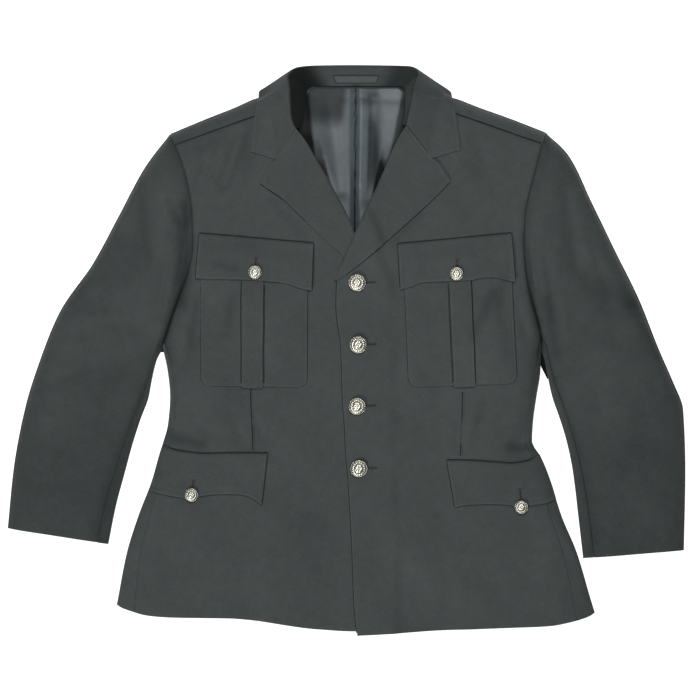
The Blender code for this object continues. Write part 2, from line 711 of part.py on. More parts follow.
def build_lapel(half, table, flat_until, material):
    """The facing turned out over the roll line, with a soft roll along it.

    The share flat_until of its length, from the break, lies pressed under the other front.
    """
    table = np.array(table, dtype=float)
    parts = np.linspace(0.0, 0.998, LAPEL_ROWS)
    roll_y = along(table[:, [0, 0]], parts)[:, 0]
    roll = np.stack([hermite(half.inner, roll_y), roll_y], axis=-1)
    places = run_length(table[:, 1:])
    shares = np.interp(roll_y, table[:, 0], places) / places[-1]
    edge = along(table[:, 1:], shares)
    top = [(0.0, *roll[-1])] + LAPEL_TOP[half.name]
    run = unit(np.gradient(roll, axis=0))
    beyond_way = np.stack([run[:, 1], -run[:, 0]], axis=-1) * -half.out
    pull = ease((parts - 0.72) / 0.28)[:, None]
    soft = ease((parts - flat_until) / 0.2)
    plan, rise = [], []
    for part, beyond, high in LAPEL_SECTION:
        straight = roll[-1] + part * (edge[-1] - roll[-1])
        bent = np.array([np.interp(part, [row[0] for row in top], [row[k] for row in top]) for k in (1, 2)])
        clear = beyond * (1 + 0.4 * ease((parts - 0.8) / 0.15))[:, None]
        plan.append(roll + part * (edge - roll) + beyond_way * clear + (bent - straight) * pull)
        rise.append(high * soft + min(high, PITCH) * (1 - soft))
    plan = np.array(plan).transpose(1, 0, 2)
    points, _ = on_front(half, plan[..., 0], plan[..., 1], np.array(rise).T, LAPEL_LEAN)
    normal = grid_normals(points)
    normal *= np.sign(normal[:, -2:, 2].mean())
    wall("lapel_" + half.name, points, points - normal * (WALL - 0.1), material)


# Collar: where it meets the neck, its roll and its free edge. The middle is shared.
COLLAR_RIGHT = [
    # neck x, y, z, roll x, y, z, edge x, y, z, turn of the roll in degrees
    (-62, 292, 26, -67, 290, 31, -126, 260, 0, 0),
    (-57, 306, 20, -74, 304, 32, -123, 286, 0, 0),
    (-54, 322, 15, -76, 323, 32, -120, 309, 0, 0),
    (-53, 335, 12, -77, 344, 27, -117, 328, 0, 15),
    (-51, 345, 9, -79, 360, 17, -116, 341, 4, 50),
    (-44, 348.5, 5.6, -64, 373, 10, -94, 349, 0, 80),
    (-24, 348.5, 5.2, -40, 375.5, 7, -52, 338, 0, 90),
]
COLLAR_MIDDLE = (7, 348.5, 5.2, 8, 376, 7, 8, 335, 0, 90)
COLLAR_LEFT = [
    (73, 296, 26, 79, 294, 31, 149, 262, 0, 0),
    (76, 308, 20, 82, 308, 32, 146, 286, 0, 0),
    (77, 323, 15, 86, 324, 32, 143, 311, 0, 0),
    (77, 335, 12, 90, 346, 27, 141, 329, 0, 15),
    (75, 345, 9, 96, 364, 17, 138, 341, 4, 50),
    (68, 348.5, 5.6, 86, 374, 10, 116, 350, 0, 80),
    (42, 348.5, 5.2, 56, 375.5, 7, 70, 338, 0, 90),
]
GORGE_CORNER = 0.6    # share of the fall's end that is the gorge seam
GORGE_PULL = {"right": (10.0, -22.0), "left": (-8.6, -23.6)}
COLLAR_STATIONS = 33
STAND_PARTS = (0.0, 0.35, 0.7, 0.9)
FALL_PARTS = (0.0, 0.08, 0.25, 0.45, GORGE_CORNER, 0.8, 1.0)


def bend(start, end, leave, arrive, part):
    """Cubic between two points with the given ways out and in."""
    part = np.asarray(part)[:, None]
    return ((2 * part**3 - 3 * part**2 + 1) * start + (part**3 - 2 * part**2 + part) * leave
            + (3 * part**2 - 2 * part**3) * end + (part**3 - part**2) * arrive)


def collar_grid():
    """Outer points of the collar: rows round the neck, and up the stand and down the fall."""
    table = np.array(COLLAR_RIGHT + [COLLAR_MIDDLE] + COLLAR_LEFT[::-1], dtype=float)
    run = run_length(table[:, 3:6])
    places = np.linspace(0, run[-1], COLLAR_STATIONS)
    columns = [hermite(list(zip(run, table[:, k])), places) for k in range(table.shape[1])]
    values = np.stack(columns, axis=-1)
    neck_middle = np.array([CENTRE_X, 330.0])
    rows = []
    for place, value in zip(places, values):
        neck, roll, edge = value[0:3], value[3:6], value[6:9]
        turn = math.radians(value[9])
        away = unit(roll[:2] - neck_middle)
        if value[9] < 45:
            away = np.array([np.sign(roll[0] - CENTRE_X), 0.0])
        way = np.array([*(away * math.cos(turn)), -math.sin(turn)])
        stand_length = np.linalg.norm(roll - neck)
        stand = bend(neck, roll, (roll - neck) * 0.8 + np.array([0, 0, 0.5 * stand_length * math.cos(turn)]),
                     way * stand_length * 0.7, STAND_PARTS)
        fall_length = np.linalg.norm(edge[:2] - roll[:2])
        down = (edge - roll) * np.array([1, 1, 0.3])
        fall = bend(roll, edge, way * fall_length * 0.35, down, FALL_PARTS)
        side = "right" if roll[0] < CENTRE_X else "left"
        from_end = min(place, run[-1] - place)
        pull = 1 - ease(from_end / 45)
        parts = np.array(FALL_PARTS)
        tent = np.where(parts < GORGE_CORNER, parts / GORGE_CORNER, (1 - parts) / (1 - GORGE_CORNER))
        flat = roll[:2] + parts[:, None] * (edge[:2] - roll[:2])
        flat = flat + tent[:, None] * np.array(GORGE_PULL[side]) * pull
        on_top = ease((40 - value[9]) / 25)
        base, normal = surface(flat[:, 0], flat[:, 1], np.ones(len(flat)))
        laid = base + normal * (PITCH + 0.5 + value[9] / 20)
        straight = roll[2] + (laid[-1, 2] - roll[2]) * parts ** 0.8
        laid[:, 2] = np.maximum(laid[:, 2], straight)
        fall[:, 2] = np.maximum(fall[:, 2], 0)
        rows.append(np.concatenate([stand, on_top * laid + (1 - on_top) * fall]))
    return np.array(rows)


def build_collar(material):
    points = collar_grid()
    normal = grid_normals(points)
    if normal[COLLAR_STATIONS // 2, 1, 2] < 0:
        normal = -normal
    inner = points - normal * WALL
    wall("collar", points, inner, material)
    return points, normal


# Breast pockets. Corners run top outer, top inner, low outer, low inner.
BREAST_POCKETS = {
    "right": {
        "flap": ((-193, 153), (-43, 140), (-197, 94), (-46, 78)),
        "pouch": ((-191, 114), (-51, 104), (-191, -47), (-52, -49)),
        "button": (-120, 102),
    },
    "left": {
        "flap": ((216, 153), (67, 139), (222, 89), (71, 79)),
        "pouch": ((216, 114), (75, 104), (224, -44), (82, -49)),
        "button": (145, 100),
    },
}
POUCH_CORNER = 12.0          # radius of the pouch's lower corners
POUCH_PUFF = 1.6             # how far its middle stands proud of its sewn edge
PLEAT_PARTS = (0.385, 0.585)  # the box pleat, as shares of the pouch's width
PLEAT_WALL = WALL - 0.2
FLAP_SEWN = 2.2              # height of the flap's outer face along its seam
FLAP_LOOSE = 5.4             # and along its free edge
FLAP_BELLY = 2.2             # more than that over the pleat and the button
# The flap's lower edge: how far it lies above the straight line between its corners.
FLAP_EDGE = {
    # part of the width from the armhole side, up
    "right": [(0.0, 0.0), (0.05, 0.3), (0.2, 2.0), (0.4, 4.0), (0.55, 5.0), (0.73, 6.0), (0.83, 4.2),
              (0.93, 0.5), (1.0, 0.0)],
    "left": [(0.0, 0.0), (0.083, 3.3), (0.19, 8.0), (0.285, 9.0), (0.39, 6.5), (0.5, 6.1), (0.65, 6.6),
             (0.825, 7.1), (0.907, 2.8), (1.0, 0.0)],
}


def quad(corners, u, v):
    """Plan place inside four corners: top outer, top inner, low outer, low inner."""
    top_out, top_in, low_out, low_in = (np.array(corner, dtype=float) for corner in corners)
    u, v = np.asarray(u)[..., None], np.asarray(v)[..., None]
    return (1 - v) * ((1 - u) * top_out + u * top_in) + v * ((1 - u) * low_out + u * low_in)


def pouch_rise(u, v):
    swell = np.clip(16 * u * (1 - u) * np.clip(v, 0, 1) * (1 - np.clip(v, 0, 1)), 0, 1)
    return PITCH + POUCH_PUFF * np.sqrt(swell)


def build_breast_pocket(half, wool, metal):
    pocket = BREAST_POCKETS[half.name]
    flap_corners, pouch_corners = pocket["flap"], pocket["pouch"]
    depth = abs(pouch_corners[0][1] - pouch_corners[2][1])
    width = abs(pouch_corners[0][0] - pouch_corners[1][0])

    low = np.array([0, 2.0, 5.5, POUCH_CORNER])
    v = np.concatenate([np.linspace(0, 1 - POUCH_CORNER / depth, 6), 1 - low[::-1][1:] / depth])
    u = np.array([0, 0.08, 0.2, 0.35, 0.5, 0.65, 0.8, 0.92, 1])
    from_low = (1 - v) * depth
    short = np.clip(POUCH_CORNER - from_low, 0, POUCH_CORNER)
    round_in = POUCH_CORNER - np.sqrt(POUCH_CORNER**2 - short**2)
    narrow = (round_in / width)[:, None]
    grid_u = narrow + u[None] * (1 - 2 * narrow)
    grid_v = np.repeat(v[:, None], len(u), axis=1)
    plan = quad(pouch_corners, grid_u, grid_v)
    points, normal = on_front(half, plan[..., 0], plan[..., 1], pouch_rise(grid_u, grid_v))
    wall("breast_pocket_" + half.name, points, points - normal * WALL, wool)

    grid_u, grid_v = np.meshgrid(np.linspace(*PLEAT_PARTS, 4), np.linspace(0.04, 1.015, 9))
    plan = quad(pouch_corners, grid_u, grid_v)
    points, normal = on_front(half, plan[..., 0], plan[..., 1], pouch_rise(grid_u, grid_v) + PITCH - 0.1)
    wall("breast_pleat_" + half.name, points, points - normal * PLEAT_WALL, wool)

    grid_u, grid_v = np.meshgrid([0, 0.03, 0.12, 0.25, 0.38, 0.5, 0.62, 0.75, 0.88, 0.97, 1],
                                 [0, 0.25, 0.5, 0.75, 1])
    plan = quad(flap_corners, grid_u, grid_v)
    plan[..., 1] += hermite(FLAP_EDGE[half.name], grid_u) * grid_v
    belly = FLAP_BELLY * np.exp(-((grid_u - 0.5) / 0.22) ** 2)
    rise = FLAP_SEWN + ease(grid_v / 0.5) * (FLAP_LOOSE - FLAP_SEWN + belly)
    points, normal = on_front(half, plan[..., 0], plan[..., 1], rise)
    wall("breast_flap_" + half.name, points, points - normal * WALL, wool)
    on_flap = FLAP_LOOSE + FLAP_BELLY
    add_button("breast_button_" + half.name, half, pocket["button"], on_flap, SMALL_BUTTON, metal)


# Hip flaps, from the front end to the side fold.
HIP_FLAPS = {
    # top front, top side, low front, low side, button
    "right": ((-104, -136), (-242, -126), (-112, -204), (-257, -186), (-204, -191)),
    "left": ((132, -145), (253.5, -136), (143, -207), (278, -195), (230, -206)),
}
# Edges of the hip flaps, above the straight line, by the part of the width from the front end.
HIP_EDGE = {
    "right": [(0.0, 0.0), (0.105, 8.7), (0.19, 10.4), (0.32, 8.7), (0.56, 1.0), (0.64, -7.5), (0.71, -4.0),
              (0.84, -2.8), (1.0, 0.0)],
    "left": [(0.0, 0.0), (0.11, 1.7), (0.3, 0.9), (0.44, -1.2), (0.55, -4.0), (0.64, -13.0), (0.72, -6.5),
             (0.88, -5.3), (1.0, 0.0)],
}
HIP_TOP = {
    "right": [(0.0, 0.0), (0.36, -3.3), (0.65, -6.6), (0.87, -4.9), (1.0, 0.0)],
    "left": [(0.0, 0.0), (0.23, -2.6), (0.55, -8.0), (0.72, -10.8), (0.84, -9.9), (0.91, -8.4), (0.97, -2.4),
             (1.0, 0.0)],
}
HIP_SEWN = PITCH + 0.3
HIP_LOOSE = PITCH + 1.0


def build_hip_flap(half, wool, metal):
    """The flap runs from its front end round to the side fold, sewn down along its top."""
    top_front, top_side, low_front, low_side, button = HIP_FLAPS[half.name]
    grid_u, grid_v = np.meshgrid([0, 0.04, 0.11, 0.19, 0.32, 0.45, 0.56, 0.64, 0.71, 0.8, 0.88, 0.94, 1],
                                 [0, 0.2, 0.45, 0.7, 0.9, 1])
    plan = quad((top_front, top_side, low_front, low_side), grid_u, grid_v)
    plan[..., 1] += hermite(HIP_EDGE[half.name], grid_u) * grid_v
    plan[..., 1] += hermite(HIP_TOP[half.name], grid_u) * (1 - grid_v)
    limit = half.side_x(plan[..., 1]) - half.out * 2.0
    over = (plan[..., 0] - limit) * half.out
    plan[..., 0] = np.where(over > 0, limit, plan[..., 0])
    rise = HIP_SEWN + (HIP_LOOSE - HIP_SEWN) * ease(grid_v / 0.3)
    points, normal = on_front(half, plan[..., 0], plan[..., 1], rise)
    wall("hip_flap_" + half.name, points, points - normal * WALL, wool)
    add_button("hip_button_" + half.name, half, button, HIP_LOOSE, SMALL_BUTTON, metal)


FRONT_BUTTONS = [(14, 88), (15, 7), (14, -74), (16, -156)]
BIG_BUTTON = 11.5
SMALL_BUTTON = 9.0
BUTTON_PROFILE = [
    # share of the radius, height
    (0.0, 5.2),
    (0.35, 4.9),
    (0.68, 4.0),
    (0.84, 3.2),
    (0.92, 3.3),
    (1.0, 2.6),
    (0.93, 1.4),
    (0.55, 0.4),
    (0.0, 0.4),
]


def add_button(name, half, place, rise, radius, material):
    """A domed shank button: its profile turned by a Screw, standing on the cloth."""
    x, y = np.array([float(place[0])]), np.array([float(place[1])])
    points, normal = on_front(half, x, y, np.array([rise]))
    mesh = bpy.data.meshes.new(name)
    profile = [(share * radius * MM, 0.0, height * MM) for share, height in BUTTON_PROFILE]
    mesh.from_pydata(profile, [(k, k + 1) for k in range(len(profile) - 1)], [])
    mesh.materials.append(material)
    button = add_object(name, mesh)
    button.location = points[0] * MM
    up = normal[0]
    button.rotation_euler = (-math.asin(up[1]), math.atan2(up[0], up[2]), 0.0)
    screw = button.modifiers.new("turn", "SCREW")
    screw.axis = "Z"
    screw.steps = screw.render_steps = 12
    screw.use_merge_vertices = True
    screw.merge_threshold = 0.00001


LINING = [
    # y, x at the wearer's right, x at the wearer's left
    (125, -12, 34),
    (165, -26, 50),
    (205, -48, 68),
    (250, -74, 88),
    (290, -92, 108),
    (320, -74, 96),
    (345, -42, 68),
]
LINING_WALL = 1.0
LINING_FOLDS = [
    # name, start, end, half width, height
    ("centre pleat", (11, 346), (11, 150), 4.0, 3.5),
    ("right of the pleat", (36, 330), (30, 200), 9.0, 2.5),
    ("left of the pleat", (-22, 320), (-8, 210), 10.0, 1.8),
]


def build_lining(material):
    """Back lining where the neck shows it, with the loose pleat down its middle."""
    y = np.linspace(345, 125, 13)
    first, last = hermite(column(LINING, 1), y), hermite(column(LINING, 2), y)
    parts = np.array([0, 0.12, 0.24, 0.35, 0.44, 0.5, 0.56, 0.65, 0.76, 0.88, 1])
    x = first[:, None] + parts * (last - first)[:, None]
    y = np.repeat(y[:, None], len(parts), axis=1)
    high = np.zeros_like(x)
    for _, start, end, half_width, height in LINING_FOLDS:
        run = np.subtract(end, start)
        part = np.clip(((x - start[0]) * run[0] + (y - start[1]) * run[1]) / (run @ run), 0, 1)
        away = np.hypot(x - start[0] - part * run[0], y - start[1] - part * run[1])
        high = high + height * np.exp(-(away / half_width) ** 2)
    z = WALL + 1.4 + LINING_WALL + back_rise(x, y) + high
    points = np.stack([x, y, z], axis=-1)
    wall("back_lining", points, points - np.array([0, 0, LINING_WALL]), material)


STRAP_WALL = 1.2
STRAP_PARTS = (0.12, 0.42)    # its two edges, as shares of the way up the stand
STRAP_STATIONS = (-3, 5)      # from and to, counted from the collar's middle


def build_strap(points, normal, material):
    """The hanger strap, a strip laid on the stand's inner face."""
    middle = COLLAR_STATIONS // 2
    rows = range(middle + STRAP_STATIONS[0], middle + STRAP_STATIONS[1])
    grid, ways = [], []
    for row in rows:
        stand = points[row, :len(STAND_PARTS)]
        way = normal[row, :len(STAND_PARTS)]
        places = [hermite(list(zip(STAND_PARTS, stand[:, k])), STRAP_PARTS) for k in range(3)]
        turns = [hermite(list(zip(STAND_PARTS, way[:, k])), STRAP_PARTS) for k in range(3)]
        grid.append(np.stack(places, axis=-1))
        ways.append(unit(np.stack(turns, axis=-1)))
    grid, ways = np.array(grid), np.array(ways)
    outer = grid + ways * (STRAP_WALL + LAYER_GAP)
    wall("hanger_strap", outer, outer - ways * STRAP_WALL, material)


clear_scene()
tunic = bpy.data.collections.new("police_uniform_tunic")
bpy.context.scene.collection.children.link(tunic)
WOOL = principled("wool", (0.058, 0.067, 0.066), 0.85)
SATIN = principled("satin", (0.14, 0.155, 0.16), 0.45)
METAL = principled("button_metal", (0.62, 0.60, 0.52), 0.35, 1.0)
RIGHT, LEFT = Side("right"), Side("left")
build_back((RIGHT, LEFT), WOOL)
for half in (RIGHT, LEFT):
    build_front(half, WOOL)
    build_sleeve(half, WOOL)
    build_breast_pocket(half, WOOL, METAL)
    build_hip_flap(half, WOOL, METAL)
build_lapel(RIGHT, LAPEL_RIGHT, 0.35, WOOL)
build_lapel(LEFT, LAPEL_LEFT, 0.05, WOOL)
collar_points, collar_normals = build_collar(WOOL)
build_lining(SATIN)
build_strap(collar_points, collar_normals, WOOL)
for number, place in enumerate(FRONT_BUTTONS, start=1):
    add_button("front_button_%d" % number, LEFT, place, 0.0, BIG_BUTTON, METAL)
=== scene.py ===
# %% [markdown]
# # A uniform tunic, buttoned and laid flat
#
# The tunic lies on its back on a pale floor, seen from straight above. The CAD model already
# holds every piece of it as a plain solid. This script keeps those solids, hidden, and dresses
# each one with a finer piece of the same form: thinner cloth, more creases, pressed edges, seams,
# stitches and buttonholes. This script keeps those solids for collision and dresses each one with
# a finer piece of the same form: thinner cloth, more creases, pressed edges, seams, stitches and
# buttonholes.

# %% Load the frame
import math

import bpy
import numpy as np
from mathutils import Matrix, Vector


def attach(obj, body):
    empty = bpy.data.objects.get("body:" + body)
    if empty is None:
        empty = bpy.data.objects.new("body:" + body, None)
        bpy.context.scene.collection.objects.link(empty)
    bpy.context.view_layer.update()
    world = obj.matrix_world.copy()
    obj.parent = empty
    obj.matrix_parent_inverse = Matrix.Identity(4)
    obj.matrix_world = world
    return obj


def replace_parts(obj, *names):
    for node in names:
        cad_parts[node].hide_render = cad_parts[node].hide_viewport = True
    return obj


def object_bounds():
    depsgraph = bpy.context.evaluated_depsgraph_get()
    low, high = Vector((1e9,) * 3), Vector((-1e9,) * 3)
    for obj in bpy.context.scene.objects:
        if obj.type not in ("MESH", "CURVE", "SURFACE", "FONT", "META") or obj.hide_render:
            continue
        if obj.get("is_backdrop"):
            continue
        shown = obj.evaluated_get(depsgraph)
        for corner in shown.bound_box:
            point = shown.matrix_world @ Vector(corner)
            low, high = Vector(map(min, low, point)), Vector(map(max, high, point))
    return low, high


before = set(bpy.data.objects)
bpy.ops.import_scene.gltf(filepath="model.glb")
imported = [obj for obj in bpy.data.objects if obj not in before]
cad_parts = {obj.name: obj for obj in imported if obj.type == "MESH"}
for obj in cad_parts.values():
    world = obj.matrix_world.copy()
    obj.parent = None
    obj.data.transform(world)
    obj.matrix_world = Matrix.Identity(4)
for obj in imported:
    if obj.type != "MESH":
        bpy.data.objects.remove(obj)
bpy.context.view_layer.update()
MM = 0.001

# %% [markdown]
# ## Camera, floor and light
#
# A garment that is photographed flat has the camera straight above it. A long lens from a few
# metres up keeps its outline true, because the high folds then grow very little in the picture.
# The light is a pale surround with one wide, soft lamp low beyond the hem, which draws the folds.

# %% Camera
VIEW_WIDTH = 924.0    # mm across the picture, at the height of the outline
VIEW_X = 4.6
OUTLINE_HEIGHT = 5.0
LENS = 120.0
SENSOR = 36.0
distance = VIEW_WIDTH * LENS / SENSOR
lens = bpy.data.cameras.new("camera")
lens.lens = LENS
lens.sensor_width = SENSOR
lens.clip_end = 50.0
camera = bpy.data.objects.new("camera", lens)
camera.location = (VIEW_X * MM, 0.0, (OUTLINE_HEIGHT + distance) * MM)
bpy.context.scene.collection.objects.link(camera)
bpy.context.scene.camera = camera
print("camera height:", round(distance * MM, 2), "m")

# %% Floor, surround and lamps
WHITE = (0.5, 0.5, 0.5, 1.0)
SURROUND = 0.2
FLOOR_GLOW = 0.85     # the floor is a light table, so the tunic casts no shadow that shows


def set_socket(shader, name, value):
    shader.inputs[name].default_value = value


def plain(name, colour, roughness):
    material = bpy.data.materials.new(name)
    material.use_nodes = True
    shader = material.node_tree.nodes["Principled BSDF"]
    set_socket(shader, "Base Color", colour)
    set_socket(shader, "Roughness", roughness)
    return material


bpy.ops.mesh.primitive_plane_add(size=40.0, location=(0, 0, 0))
floor = bpy.context.object
floor.name = "floor"
white = plain("floor_white", WHITE, 0.9)
set_socket(white.node_tree.nodes["Principled BSDF"], "Emission Color", (1.0, 1.0, 1.0, 1.0))
set_socket(white.node_tree.nodes["Principled BSDF"], "Emission Strength", FLOOR_GLOW)
floor.data.materials.append(white)
floor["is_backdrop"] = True

world = bpy.data.worlds.new("surround")
world.use_nodes = True
set_socket(world.node_tree.nodes["Background"], "Color", (1.0, 1.0, 1.0, 1.0))
set_socket(world.node_tree.nodes["Background"], "Strength", SURROUND)
bpy.context.scene.world = world
bpy.context.scene.view_settings.view_transform = "Standard"

LAMPS = [
    # name, place in metres, size in metres, watts
    ("key", (-1.5, -3.3, 2.3), 1.2, 152.0),
    ("over the chest", (0.1, 0.8, 1.75), 0.9, 30.0),
]


def add_lamp(name, place, size, watts):
    """A square lamp that looks at the middle of the tunic."""
    lamp = bpy.data.lights.new(name, "AREA")
    lamp.size = size
    lamp.energy = watts
    holder = bpy.data.objects.new(name, lamp)
    holder.location = place
    holder.rotation_euler = (-holder.location).to_track_quat("-Z", "Y").to_euler()
    bpy.context.scene.collection.objects.link(holder)


for lamp_row in LAMPS:
    add_lamp(*lamp_row)
print("lamps:", [row[0] for row in LAMPS])

# %% [markdown]
# ## The tunic's sizes
#
# The same driving sizes as in the CAD source: the outline, the height of the cloth above the
# floor, and the largest folds. Everything below is in millimetres, and becomes metres when a
# mesh is made. +X is to the wearer's left, +Y towards the collar.

# %% Sizes and outline
WALL = 1.6            # cloth with its interlining, as one wall
LAYER_GAP = 0.4       # air between two layers of cloth
SEAM_GAP = 0.12        # air between two pieces at a seam
SHOULDER_GAP = 0.5    # the same at the shoulder seam, which dips towards the neck
PITCH = WALL + LAYER_GAP
RIM = 3.5             # radius of the fold where the cloth turns under
ROLL_IN = 45.0        # how far in from a fold the cloth reaches its full height
CENTRE_X = 7.0        # middle of the collar


# Height of the cloth above the surface, read at a place's Y.
HEIGHTS = [
    # y, body, sleeve
    (380, 24.0, 24.0),
    (320, 26.0, 26.0),
    (250, 27.0, 27.0),
    (150, 26.0, 26.0),
    (60, 24.0, 24.0),
    (5, 22.0, 22.0),
    (-60, 19.0, 19.0),
    (-130, 15.0, 16.5),
    (-200, 13.5, 14.0),
    (-265, 12.0, 11.5),
    (-380, 10.0, 10.0),
]

# The body's side folds, as the outline shows them.
SIDES = [
    # y, x at the wearer's right, x at the wearer's left
    (-350, -306, 329),
    (-334, -303, 324),
    (-267, -290, 304),
    (-219, -275, 284),
    (-172, -257, 269),
    (-140, -248, 256),
    (-121, -242, 245),
    (-99, -236, 246),
    (-61, -233, 251),
    (-29, -236, 256),
    (4, -243, 257),
]

# How far the side seam runs inside the side fold, on the upper side.
SIDE_SEAM = [
    # y, inset
    (-350, 24.0),
    (-247, 17.0),
    (-130, 9.0),
    (4, 6.0),
]

ARMHOLE_RIGHT = [(-232, 284), (-225, 268), (-216, 244), (-207, 211), (-204, 180), (-202, 145),
                 (-207, 110), (-219, 74), (-233, 34), (-243, 4)]
ARMHOLE_LEFT = [(262, 286), (255, 262), (246, 227), (238, 195), (234, 162), (234, 132),
                (237, 96), (244, 66), (253, 34), (256.5, 17), (257, 4)]

# Shoulder folds from the armhole to the neck.
SHOULDER_RIGHT = [(-232, 284), (-184, 304), (-146, 319), (-118, 331), (-98, 335), (-78, 338), (-60, 344)]
SHOULDER_LEFT = [(262, 286), (216, 304), (174, 319), (142, 331), (122, 335), (102, 338), (84, 344)]
NECK_RIGHT = (-60, 329)
NECK_LEFT = (84, 331)

SLEEVE_OUTER_RIGHT = [(-232, 284), (-265, 240), (-299, 177), (-333, 114), (-377, 50), (-403, -13),
                      (-423, -77), (-438, -156), (-446, -236)]
SLEEVE_INNER_RIGHT = [(-243, 4), (-252, -13), (-258, -37), (-263, -63), (-273, -90), (-284, -124),
                      (-294, -161), (-306, -206), (-316, -256)]
SLEEVE_OUTER_LEFT = [(262, 286), (292, 256), (323, 193), (354, 129), (385, 66), (410, 3),
                     (432, -48), (443, -78), (446, -158), (444, -265)]
SLEEVE_INNER_LEFT = [(257, 4), (263, -13), (267, -34), (273, -61), (282, -87), (291, -116),
                     (299, -152), (303, -180), (307, -215), (314, -275)]

# Front edges, from the hem up the edge and the roll line to the neck.
INNER_RIGHT = [(-372, 44), (-250, 41), (-120, 38), (0, 36), (60, 35), (86, 33), (111, 24), (147, 9),
               (176, -2), (204, -17), (236, -34), (268, -52), (289, -67), (310, -64), (331, -60)]
INNER_LEFT = [(-377, 15), (-331, 10), (-277, 8), (-181, 3), (-131, -1), (-88, -3), (-66, -5), (1, -7),
              (49, -13), (78, -14), (90, -13), (117, -1), (144, 10), (182, 28), (223, 47), (268, 64),
              (294, 79), (314, 82), (334, 84)]

HEM_RIGHT = [(-306, -334), (-299, -339), (-288, -343), (-262, -350), (-225, -353), (-151, -354),
             (-88, -362), (-51, -367), (10, -371), (44, -371)]
HEM_LEFT = [(10, -377), (61, -374), (123, -370), (203, -367), (267, -364), (303, -357), (321, -351),
            (329, -346)]
HEM_BACK = HEM_RIGHT + [(123, -369), (203, -367), (267, -364), (303, -357), (321, -351), (329, -346)]
HEM_LEVEL = -371.0
HEM_FADE = 110.0      # height over which the rows lose the hem's curve

# Rows across the body below the armholes.
BODY_ROWS = [-371, -350, -326, -300, -274, -248, -222, -198, -176, -156, -138, -121, -99, -68, -32, 4]


# The largest folds: soft troughs, or ridges where the depth is positive.
FOLDS = [
    # name, start, end, half width, depth
    ("right chest", (-137, 282), (-161, 219), 9.0, -4.5),
    ("right chest, small", (-184, 245), (-193, 215), 8.0, -2.5),
    ("right armhole", (-213, 188), (-216, 40), 10.0, -3.5),
    ("left armhole", (240, 190), (250, 40), 9.0, -2.5),
    ("right sleeve head", (-229, 196), (-215, 167), 8.0, -4.0),
    ("right sleeve, upper", (-273, 205), (-288, 126), 15.0, -3.0),
    ("right elbow", (-262, 30), (-330, 60), 18.0, -3.0),
    ("right elbow, low", (-270, -40), (-355, -10), 16.0, -2.5),
    ("right forearm", (-310, -80), (-400, -115), 18.0, -2.0),
    ("left sleeve, upper", (290, 190), (305, 110), 15.0, -2.5),
    ("left elbow", (322, 92), (361, 40), 18.0, -3.5),
    ("left elbow, low", (285, -20), (350, 10), 16.0, -2.5),
    ("left forearm", (315, -95), (400, -120), 18.0, -2.0),
    ("right waist, front", (-117, -98), (-108, -114), 10.0, -3.0),
    ("right waist, side", (-196, -92), (-178, -110), 11.0, -3.0),
    ("right side", (-238, -100), (-220, -112), 8.0, -2.0),
    ("left side", (242, -108), (222, -122), 8.0, -2.5),
    ("left waist", (151, -100), (149, -120), 10.0, -2.0),
    ("right skirt", (-222, -230), (-240, -330), 20.0, -1.5),
    ("left skirt", (232, -225), (252, -335), 20.0, -1.5),
    ("right chest side", (-70, 60), (-30, -30), 26.0, 1.5),
    ("right neck side", (-54, 338), (-62, 306), 22.0, -9.0),
    ("left neck side", (80, 340), (78, 308), 20.0, -8.0),
]


# %% [markdown]
# ## Smooth curves from short tables
#
# A pattern maker marks a few points and joins them with a curve. hermite does this for one value:
# between two rows it is a cubic, whose slopes at the rows are the harmonic means of the slopes
# beside them, so it never swings past a marked value.

# %% Curves
def hermite(table, at):
    """Value of a smooth curve through (place, value) rows, with no overshoot."""
    rows = np.array(sorted(table), dtype=float)
    place, value = rows[:, 0], rows[:, 1]
    step = np.diff(place)
    slope = np.diff(value) / step
    tangent = np.zeros(len(place))
    same_way = slope[:-1] * slope[1:] > 0
    mean = 2 * slope[:-1] * slope[1:] / np.where(same_way, slope[:-1] + slope[1:], 1.0)
    tangent[1:-1] = np.where(same_way, mean, 0.0)
    tangent[0], tangent[-1] = slope[0], slope[-1]
    at = np.clip(np.asarray(at, dtype=float), place[0], place[-1])
    index = np.clip(np.searchsorted(place, at, side="right") - 1, 0, len(step) - 1)
    size = step[index]
    t = (at - place[index]) / size
    return ((2 * t**3 - 3 * t**2 + 1) * value[index] + (t**3 - 2 * t**2 + t) * size * tangent[index]
            + (3 * t**2 - 2 * t**3) * value[index + 1] + (t**3 - t**2) * size * tangent[index + 1])


def run_length(points):
    """Distance run along a line of points at each of them."""
    points = np.asarray(points, dtype=float)
    return np.concatenate([[0.0], np.cumsum(np.linalg.norm(np.diff(points, axis=0), axis=1))])


def along(points, fraction):
    """Points of a smooth line through points, at fractions of its length."""
    points = np.asarray(points, dtype=float)
    length = run_length(points)
    place = np.asarray(fraction, dtype=float) * length[-1]
    values = [hermite(list(zip(length, points[:, k])), place) for k in range(points.shape[1])]
    return np.stack(values, axis=-1)


def unit(way):
    return way / np.linalg.norm(way, axis=-1, keepdims=True)


def ease(value):
    """Smooth step from 0 to 1."""
    value = np.clip(value, 0.0, 1.0)
    return value * value * (3 - 2 * value)


def column(table, number):
    """One value column of a table of rows, with the first column as its place."""
    return [(row[0], row[number]) for row in table]


def dense(points, count=90):
    return along(points, np.linspace(0, 1, count))


def side_line(number):
    y = np.linspace(-350, 4, 90)
    return np.stack([hermite(column(SIDES, number), y), y], axis=-1)


